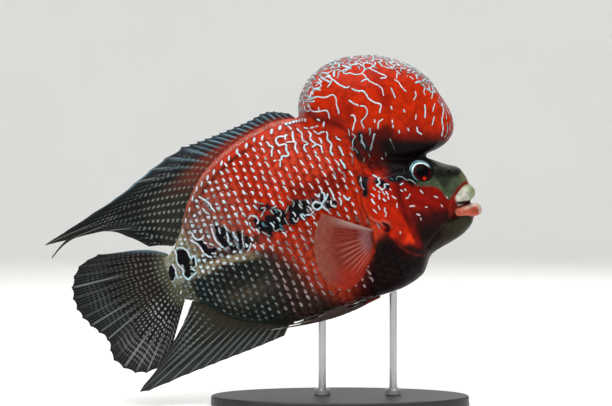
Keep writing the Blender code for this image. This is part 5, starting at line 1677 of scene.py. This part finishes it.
def dorsal_ray(k, u):
    share = k / (DORSAL_RAYS - 1)
    x = DORSAL_BASE[0] + (DORSAL_BASE[1] - DORSAL_BASE[0]) * share
    hard = along(DORSAL_SPINES, k / (SPINES - 1))
    soft = along(DORSAL_SOFT, (k - SPINES) / (DORSAL_RAYS - 1 - SPINES))
    last, first = np.array(DORSAL_SPINES[-1]), np.array(DORSAL_SOFT[0])
    between = np.clip(k - (SPINES - 1), 0, 1)[..., None]
    tip = np.where(k[..., None] <= SPINES - 1, hard, np.where(k[..., None] < SPINES, last + (first - last) * between, soft))
    foot = smooth(BACK, x) + GAP
    length = np.hypot(tip[..., 0] - x, tip[..., 1] - foot)
    px = x + (tip[..., 0] - x) * u
    pz = foot + (tip[..., 1] - foot) * u + 0.18 * length * u * (1 - u)
    py = 0.03 * length * u * np.sin(0.9 * k)
    return np.stack(np.broadcast_arrays(px, py, pz), -1)


def streamer_ray(k, u):
    """Thin lower point of the back fin's forked tip."""
    spot = along(STREAMER, u + 0 * k)
    narrow = 1.1 * (1 - 0.7 * u)
    return np.stack(np.broadcast_arrays(spot[..., 0], 2.0 + 0 * u, spot[..., 1] + (1 - k) * narrow), -1)


def anal_ray(k, u):
    share = k / (ANAL_RAYS - 1)
    x = ANAL_BASE[0] + (ANAL_BASE[1] - ANAL_BASE[0]) * share
    tip = along(ANAL_TIPS, share)
    foot = smooth(BELLY, x) - GAP
    px = x + (tip[..., 0] - x) * u
    pz = foot + (tip[..., 1] - foot) * u
    return np.stack(np.broadcast_arrays(px, -u * (1.5 + 3.5 * share), pz), -1)


def caudal_ray(k, u):
    share = k / (CAUDAL_RAYS - 1)
    z = CAUDAL_FOOT[0] + (CAUDAL_FOOT[1] - CAUDAL_FOOT[0]) * share
    tip = along(CAUDAL_TIPS, share)
    px = TAIL_END - GAP + (tip[..., 0] - TAIL_END + GAP) * u
    pz = z + (tip[..., 1] - z) * u + CAUDAL_ARCH * u * (1 - u) ** 2 * np.maximum(0.0, 1 - 4 * share)
    return np.stack(np.broadcast_arrays(px, CAUDAL_WAVE * u * u * np.sin(2 * math.pi * share), pz), -1)


def pectoral_ray(side):
    def ray(k, u):
        share = k / (PECTORAL_RAYS - 1)
        (x0, z0), (x1, z1) = PECTORAL_FOOT
        foot = side_point(x0 + (x1 - x0) * share, z0 + (z1 - z0) * share, side, GAP + 0.9)
        tip = along(PECTORAL_TIPS, share)
        dx, dz = tip[..., 0] - foot[..., 0], tip[..., 1] - foot[..., 2]
        out = np.hypot(dx, dz) * u * PECTORAL_SPREAD
        return np.stack([foot[..., 0] + dx * u, foot[..., 1] + side * out * (1 - 0.25 * u),
                         foot[..., 2] + dz * u], -1)

    return ray


def pelvic_ray(side):
    def ray(k, u):
        share = k / (PELVIC_RAYS - 1)
        foot = np.array(PELVIC_FOOT[0]) + (np.array(PELVIC_FOOT[1]) - np.array(PELVIC_FOOT[0])) * share[..., None]
        tip = along(PELVIC_TIPS, share)
        spot = foot + (tip - foot) * u[..., None]
        spot[..., 2] -= PELVIC_SAG * 4 * u * (1 - u)
        spot[..., 1] *= side
        return spot

    return ray


def tinted(*layers):
    """Colour laid up from pairs of a screen colour and the share that it covers."""
    colour = None
    for tint, share in layers:
        tint = linear(tint) * np.ones((*np.shape(share), 3))
        share = np.asarray(share)[..., None]
        colour = tint if colour is None else colour * (1 - share) + tint * share
    return colour


def picked(k, seed, share):
    """1 for some of the rays and 0 for the rest."""
    return (scatter(np.round(k), seed) < share).astype(float)


def dorsal_look(k, u):
    spiny = ramp(k, SPINES + 4, SPINES - 5)
    soft = 1 - spiny
    f = k - np.floor(k)
    colour = tinted(((18, 22, 23), 1.0 + 0 * u), ((38, 40, 35), ramp(u, 0.5, 0.1) * soft),
                    ((104, 46, 36), ramp(u, 0.42, 0.06) * soft * ramp(k, 22, 17)),
                    ((54, 60, 66), spiny * ramp(u, 0.25, 0.6)), ((138, 46, 34), ramp(u, 0.46, 0.1) * spiny * 0.9),
                    ((14, 13, 17), ramp(f, 0.6, 0.88) * ramp(u, 0.2, 0.45) * spiny * 0.8))
    streak = ramp(f, 0.34, 0.08) * ramp(u, 0.12, 0.36) * ramp(u, 0.98, 0.65) * (0.6 + 0.5 * scatter(np.floor(k), 5))
    lappet = np.maximum(0.35 * ramp(u, 0.93, 0.99), streak) * spiny
    last = ramp(k, SPINES - 1, SPINES + 1) * ramp(k, SPINES + 5, SPINES + 2) * ramp(u, 0.92, 0.97)
    spots = soft * (0.75 - 0.3 * ramp(u, 0.1, 0.5)) * ramp(u, 0.86, 0.6) + spiny * 0.5 * ramp(u, 0.45, 0.2)
    cream = 0.7 * picked(k, 12, 0.45) * soft * ramp(u, 0.6, 0.75) * ramp(u, 1.0, 0.93)
    return colour, spots, 0.3 * soft * ramp(u, 0.3, 0.8), np.maximum(lappet * 0.75, last * 0.4), cream


def anal_look(k, u):
    colour = tinted(((30, 33, 31), 1.0 + 0 * u), ((46, 44, 36), ramp(u, 0.42, 0.05)))
    spots = 0.5 * ramp(k, 8, 13) * ramp(u, 0.05, 0.2) * ramp(u, 0.8, 0.5)
    return colour, spots, 0.5 * ramp(u, 0.1, 0.5), 0 * u, 0.6 * ramp(u, 0.1, 0.35) * ramp(u, 1.0, 0.9)


def caudal_look(k, u):
    share = k / (CAUDAL_RAYS - 1)
    colour = tinted(((11, 14, 14), 1.0 + 0 * u), ((30, 25, 22), ramp(u, 0.75, 0.3) * ramp(share, 0.9, 0.6)),
                    ((26, 22, 26), ramp(share, 0.5, 0.75) * ramp(u, 0.1, 0.3)), ((84, 86, 66), ramp(u, 0.22, 0.03)))
    spots = ramp(u, 0.01, 0.06) * (0.24 + 0.7 * np.maximum(ramp(share, 0.5, 0.66), 0.6 * ramp(u, 0.3, 0.12)))
    lines = (0.1 + 0.65 * picked(k, 4, 0.6) * scatter(np.round(k), 6)) * ramp(u, 0.4, 0.65) * ramp(u, 1.0, 0.94)
    return colour, spots * ramp(u, 1.0, 0.75), 0.3 * ramp(u, 0.35, 0.75), ramp(share, 0.05, 0.0) * ramp(u, 0.8, 0.1) * 0.6, lines


def pectoral_look(k, u):
    share = k / (PECTORAL_RAYS - 1)
    # The pale violet band near the fin's foot is a painted highlight.
    colour = tinted(((112, 38, 28), 1.0 + 0 * u), ((150, 34, 16), ramp(share, 0.45, 0.8) * 0.7),
                    ((128, 68, 58), ramp(u, 0.55, 0.95) * ramp(share, 0.75, 0.45)),
                    ((138, 96, 100), ramp(u, 0.02, 0.1) * ramp(u, 0.3, 0.16) * ramp(share, 0.85, 0.5) * 0.7))
    lines = 0.4 * ramp(u, 0.1, 0.25) * ramp(u, 0.95, 0.5) * ramp(share, 0.8, 0.5) + 0.12
    ribs = 0.8 * ramp(u, 0.1, 0.22) * ramp(u, 0.7, 0.4) * ramp(share, 0.2, 0.35) * ramp(share, 0.95, 0.8)
    return colour, 0 * u, lines, ramp(share, 0.12, 0.0) * ramp(u, 0.95, 0.4) * 0.75, ribs


def pelvic_look(k, u):
    share = k / (PELVIC_RAYS - 1)
    colour = tinted(((58, 48, 46), 1.0 + 0 * u), ((92, 16, 10), ramp(u, 0.3, 0.05)))
    return colour, 0 * u, 0.4 + 0 * u, ramp(share, 0.2, 0.04) * ramp(u, 0.1, 0.3) * 0.8


class FISH_OT_fins(bpy.types.Operator):
    """Dorsal, anal, tail, pectoral and pelvic fins"""

    bl_idname = "fish.fins"
    bl_label = "Fins"

    def execute(self, context):
        pale, white = linear((152, 158, 154)), linear((126, 164, 182))

        def even(k):
            return 0.02 + 0 * k

        def lappets(k):
            return 0.03 + 0.10 * ramp(k, SPINES + 1, SPINES - 2)

        material = fin_material("dorsal_fin", linear((138, 142, 132)), white, 3.0)
        mesh = fin_mesh("dorsal_membrane", DORSAL_RAYS, 44, dorsal_ray, dorsal_look, 1.8, 0.7, lappets, 0.42)
        show(mesh, material, ("dorsal_fin",))
        mesh = fin_mesh("dorsal_streamer", 3, 20, streamer_ray, anal_look, 1.0, 0.6, even, 0.9)
        show(mesh, material, ("dorsal_fin",))
        mesh = fin_mesh("anal_membrane", ANAL_RAYS, 40, anal_ray, anal_look, 1.8, 0.7, even, 0.3)
        show(mesh, fin_material("anal_fin", pale, None, 3.2), ("anal_fin",))
        mesh = fin_mesh("tail_membrane", CAUDAL_RAYS, 52, caudal_ray, caudal_look, 1.8, 0.7, even, 0.25)
        show(mesh, fin_material("tail_fin", pale, white, 3.0), ("caudal_fin",))
        rosy = fin_material("pectoral_fins", linear((172, 100, 86)), linear((176, 148, 144)))
        smoky = fin_material("pelvic_fins", linear((112, 102, 94)), linear((160, 156, 146)))
        for side, word in ((1, "left"), (-1, "right")):
            mesh = fin_mesh(f"pectoral_membrane_{word}", PECTORAL_RAYS, 32, pectoral_ray(side), pectoral_look,
                            1.3, 0.6, even, 0.3, fine=0.3)
            show(mesh, rosy, (f"pectoral_fin_{word}",))
            mesh = fin_mesh(f"pelvic_membrane_{word}", PELVIC_RAYS, 36, pelvic_ray(side), pelvic_look,
                            1.6, 0.7, even, 0.3)
            show(mesh, smoky, (f"pelvic_fin_{word}",))
        return {"FINISHED"}


class FISH_OT_eyes(bpy.types.Operator):
    """Eyeballs with a silver ring, dark iris and pupil"""

    bl_idname = "fish.eyes"
    bl_label = "Eyes"

    def execute(self, context):
        material = eye_material(context.scene.fish_eye)
        for side, word in ((1, "left"), (-1, "right")):
            bm = bmesh.new()
            bmesh.ops.create_uvsphere(bm, u_segments=64, v_segments=56, radius=1.0)
            local = np.array([tuple(v.co) for v in bm.verts])
            out, right, up = local[:, 2], local[:, 0], local[:, 1]
            reach = np.hypot(right, up) * EYE_RADII[0]
            front = out > 0
            disc = np.hypot(right * EYE_RADII[0] * side - DISC[0], up * EYE_RADII[2] - DISC[1])
            bulge = 0.35 * ramp(disc, 5.2, 0.0) - 0.18 * np.exp(-((disc - 5.7) / 0.35) ** 2)
            bulge += 0.14 * np.exp(-((disc - 6.6) / 0.5) ** 2)
            y = out * EYE_RADII[1] + np.where(front, bulge, 0)
            axes = eye_axes(side)
            centre = side_point(EYE[0], EYE[1], side, EYE_PROUD - EYE_RADII[1])
            p = centre + np.stack([right * EYE_RADII[0], y, up * EYE_RADII[2]], -1) @ axes.T
            for v, spot in zip(bm.verts, p):
                v.co = spot
            bm.normal_update()
            bmesh.ops.recalc_face_normals(bm, faces=bm.faces)
            mesh = to_mesh(f"eyeball_{word}", bm)
            keep_number(mesh, "Reach", np.where(front, reach, 9.0))
            keep_number(mesh, "Disc", np.where(front, disc, 9.0))
            turn = np.arctan2(up * EYE_RADII[2] - DISC[1], right * EYE_RADII[0] * side - DISC[0])
            # Masks of painted light on the ring: the top one carries the painted highlight, and the top and left
            # together the lit part of the ring.
            top = ramp(np.abs(turn - math.radians(86)), 1.45, 0.8)
            left = 0.5 * ramp(np.abs(np.abs(turn) - math.radians(172)), 0.75, 0.2)
            keep_number(mesh, "Bright", top)
            keep_number(mesh, "LitRing", np.maximum(top, left))
            keep_number(mesh, "Glint", np.hypot(right * EYE_RADII[0] * side - DISC[0] + 0.9,
                                                up * EYE_RADII[2] - DISC[1] + 4.4))
            move(mesh, pose(p))
            show(mesh, material, (f"eye_{word}",))
        return {"FINISHED"}


class FISH_OT_stand(bpy.types.Operator):
    """Finish of the stand's base and rods"""

    bl_idname = "fish.stand"
    bl_label = "Stand"

    def execute(self, context):
        powder, steel = powder_material(context.scene.fish_stage), steel_material()
        for name, material in (("stand_base", powder), ("stand_rod_front", steel), ("stand_rod_rear", steel)):
            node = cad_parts[name]
            node.data.materials.clear()
            node.data.materials.append(material)
        return {"FINISHED"}


class FISH_OT_stage(bpy.types.Operator):
    """Pale floor, soft lights and camera"""

    bl_idname = "fish.stage"
    bl_label = "Stage"

    def execute(self, context):
        look = context.scene.fish_stage
        bm = bmesh.new()
        centre = bm.verts.new((0, 0, 0))
        profile = [centre, bm.verts.new((2.4, 0, 0))]
        for k in range(1, 13):
            turn = math.pi / 2 * k / 12
            profile.append(bm.verts.new((2.4 + 0.9 * math.sin(turn), 0, 0.9 - 0.9 * math.cos(turn))))
        profile.append(bm.verts.new((3.3, 0, 2.6)))
        edges = [bm.edges.new(pair) for pair in zip(profile, profile[1:])]
        bmesh.ops.spin(bm, geom=[*profile, *edges], cent=(0, 0, 0), axis=(0, 0, 1), angle=2 * math.pi, steps=72,
                       use_merge=True, use_duplicate=False)
        bmesh.ops.remove_doubles(bm, verts=bm.verts, dist=1e-5)
        bmesh.ops.recalc_face_normals(bm, faces=bm.faces)
        if sum(f.normal.z for f in bm.faces) < 0:
            bmesh.ops.reverse_faces(bm, faces=bm.faces)
        mesh = to_mesh("floor", bm)
        mesh.shade_smooth()
        mesh.materials.append(floor_material(look))
        floor = bpy.data.objects.new("floor", mesh)
        context.scene.collection.objects.link(floor)
        self.lamp(context, "key", (-0.45, -0.95, 1.45), look.key, 0.8, (1.0, 0.98, 0.95))
        self.lamp(context, "ceiling", (0.0, 0.0, 2.4), look.key * 4, 2.2, (1.0, 1.0, 1.0))
        self.lamp(context, "back", (0.5, 1.1, 1.2), look.key * 0.4, 0.8, (1.0, 1.0, 1.0))
        world = bpy.data.worlds.new("soft room")
        world.use_nodes = True
        sky = world.node_tree.nodes["Background"]
        sky.inputs["Color"].default_value = (0.9, 0.94, 1.0, 1.0)
        sky.inputs["Strength"].default_value = 0.42
        context.scene.world = world
        context.scene.view_settings.view_transform = "Standard"
        data = bpy.data.cameras.new("camera")
        data.lens = 85
        data.sensor_width = 36
        data.clip_start = 0.01
        camera = bpy.data.objects.new("camera", data)
        camera.location = (-0.02108, -0.8959, 0.12494)
        camera.rotation_euler = (math.radians(90), 0, 0)
        context.scene.collection.objects.link(camera)
        context.scene.camera = camera
        return {"FINISHED"}

    def lamp(self, context, name, place, power, size, colour):
        """Large soft light that faces the fish."""
        data = bpy.data.lights.new(name, "AREA")
        data.energy = power
        data.size = size
        data.color = colour
        lamp = bpy.data.objects.new(name, data)
        lamp.location = place
        aim = Vector((0.0, 0.0, 0.1)) - Vector(place)
        lamp.rotation_euler = aim.to_track_quat("-Z", "Y").to_euler()
        context.scene.collection.objects.link(lamp)


PIECES = (FISH_OT_skin, FISH_OT_scales, FISH_OT_pearls, FISH_OT_fins, FISH_OT_eyes, FISH_OT_stand, FISH_OT_stage)
GROUPS = {"fish_skin": SkinLook, "fish_scales": ScaleLook, "fish_eye": EyeLook, "fish_stage": StageLook}


class FISH_PT_panel(bpy.types.Panel):
    """Pieces of the fish and their sizes and colours"""

    bl_idname = "FISH_PT_panel"
    bl_label = "Flowerhorn"
    bl_space_type = "VIEW_3D"
    bl_region_type = "UI"
    bl_category = "Fish"

    def draw(self, context):
        for piece in PIECES:
            self.layout.operator(piece.bl_idname)
        for name in GROUPS:
            group = getattr(context.scene, name)
            for key in group.bl_rna.properties.keys():
                if key not in ("rna_type", "name"):
                    self.layout.prop(group, key)


def register():
    for name, group in GROUPS.items():
        bpy.utils.register_class(group)
        setattr(bpy.types.Scene, name, bpy.props.PointerProperty(type=group))
    for piece in (*PIECES, FISH_PT_panel):
        bpy.utils.register_class(piece)


def unregister():
    for piece in reversed((*PIECES, FISH_PT_panel)):
        bpy.utils.unregister_class(piece)
    for name, group in GROUPS.items():
        delattr(bpy.types.Scene, name)
        bpy.utils.unregister_class(group)


def main():
    register()
    bpy.ops.fish.skin()
    bpy.ops.fish.scales()
    bpy.ops.fish.pearls()
    bpy.ops.fish.fins()
    bpy.ops.fish.eyes()
    bpy.ops.fish.stand()
    bpy.ops.fish.stage()
    bpy.context.view_layer.update()


if __name__ == "__main__":
    main()
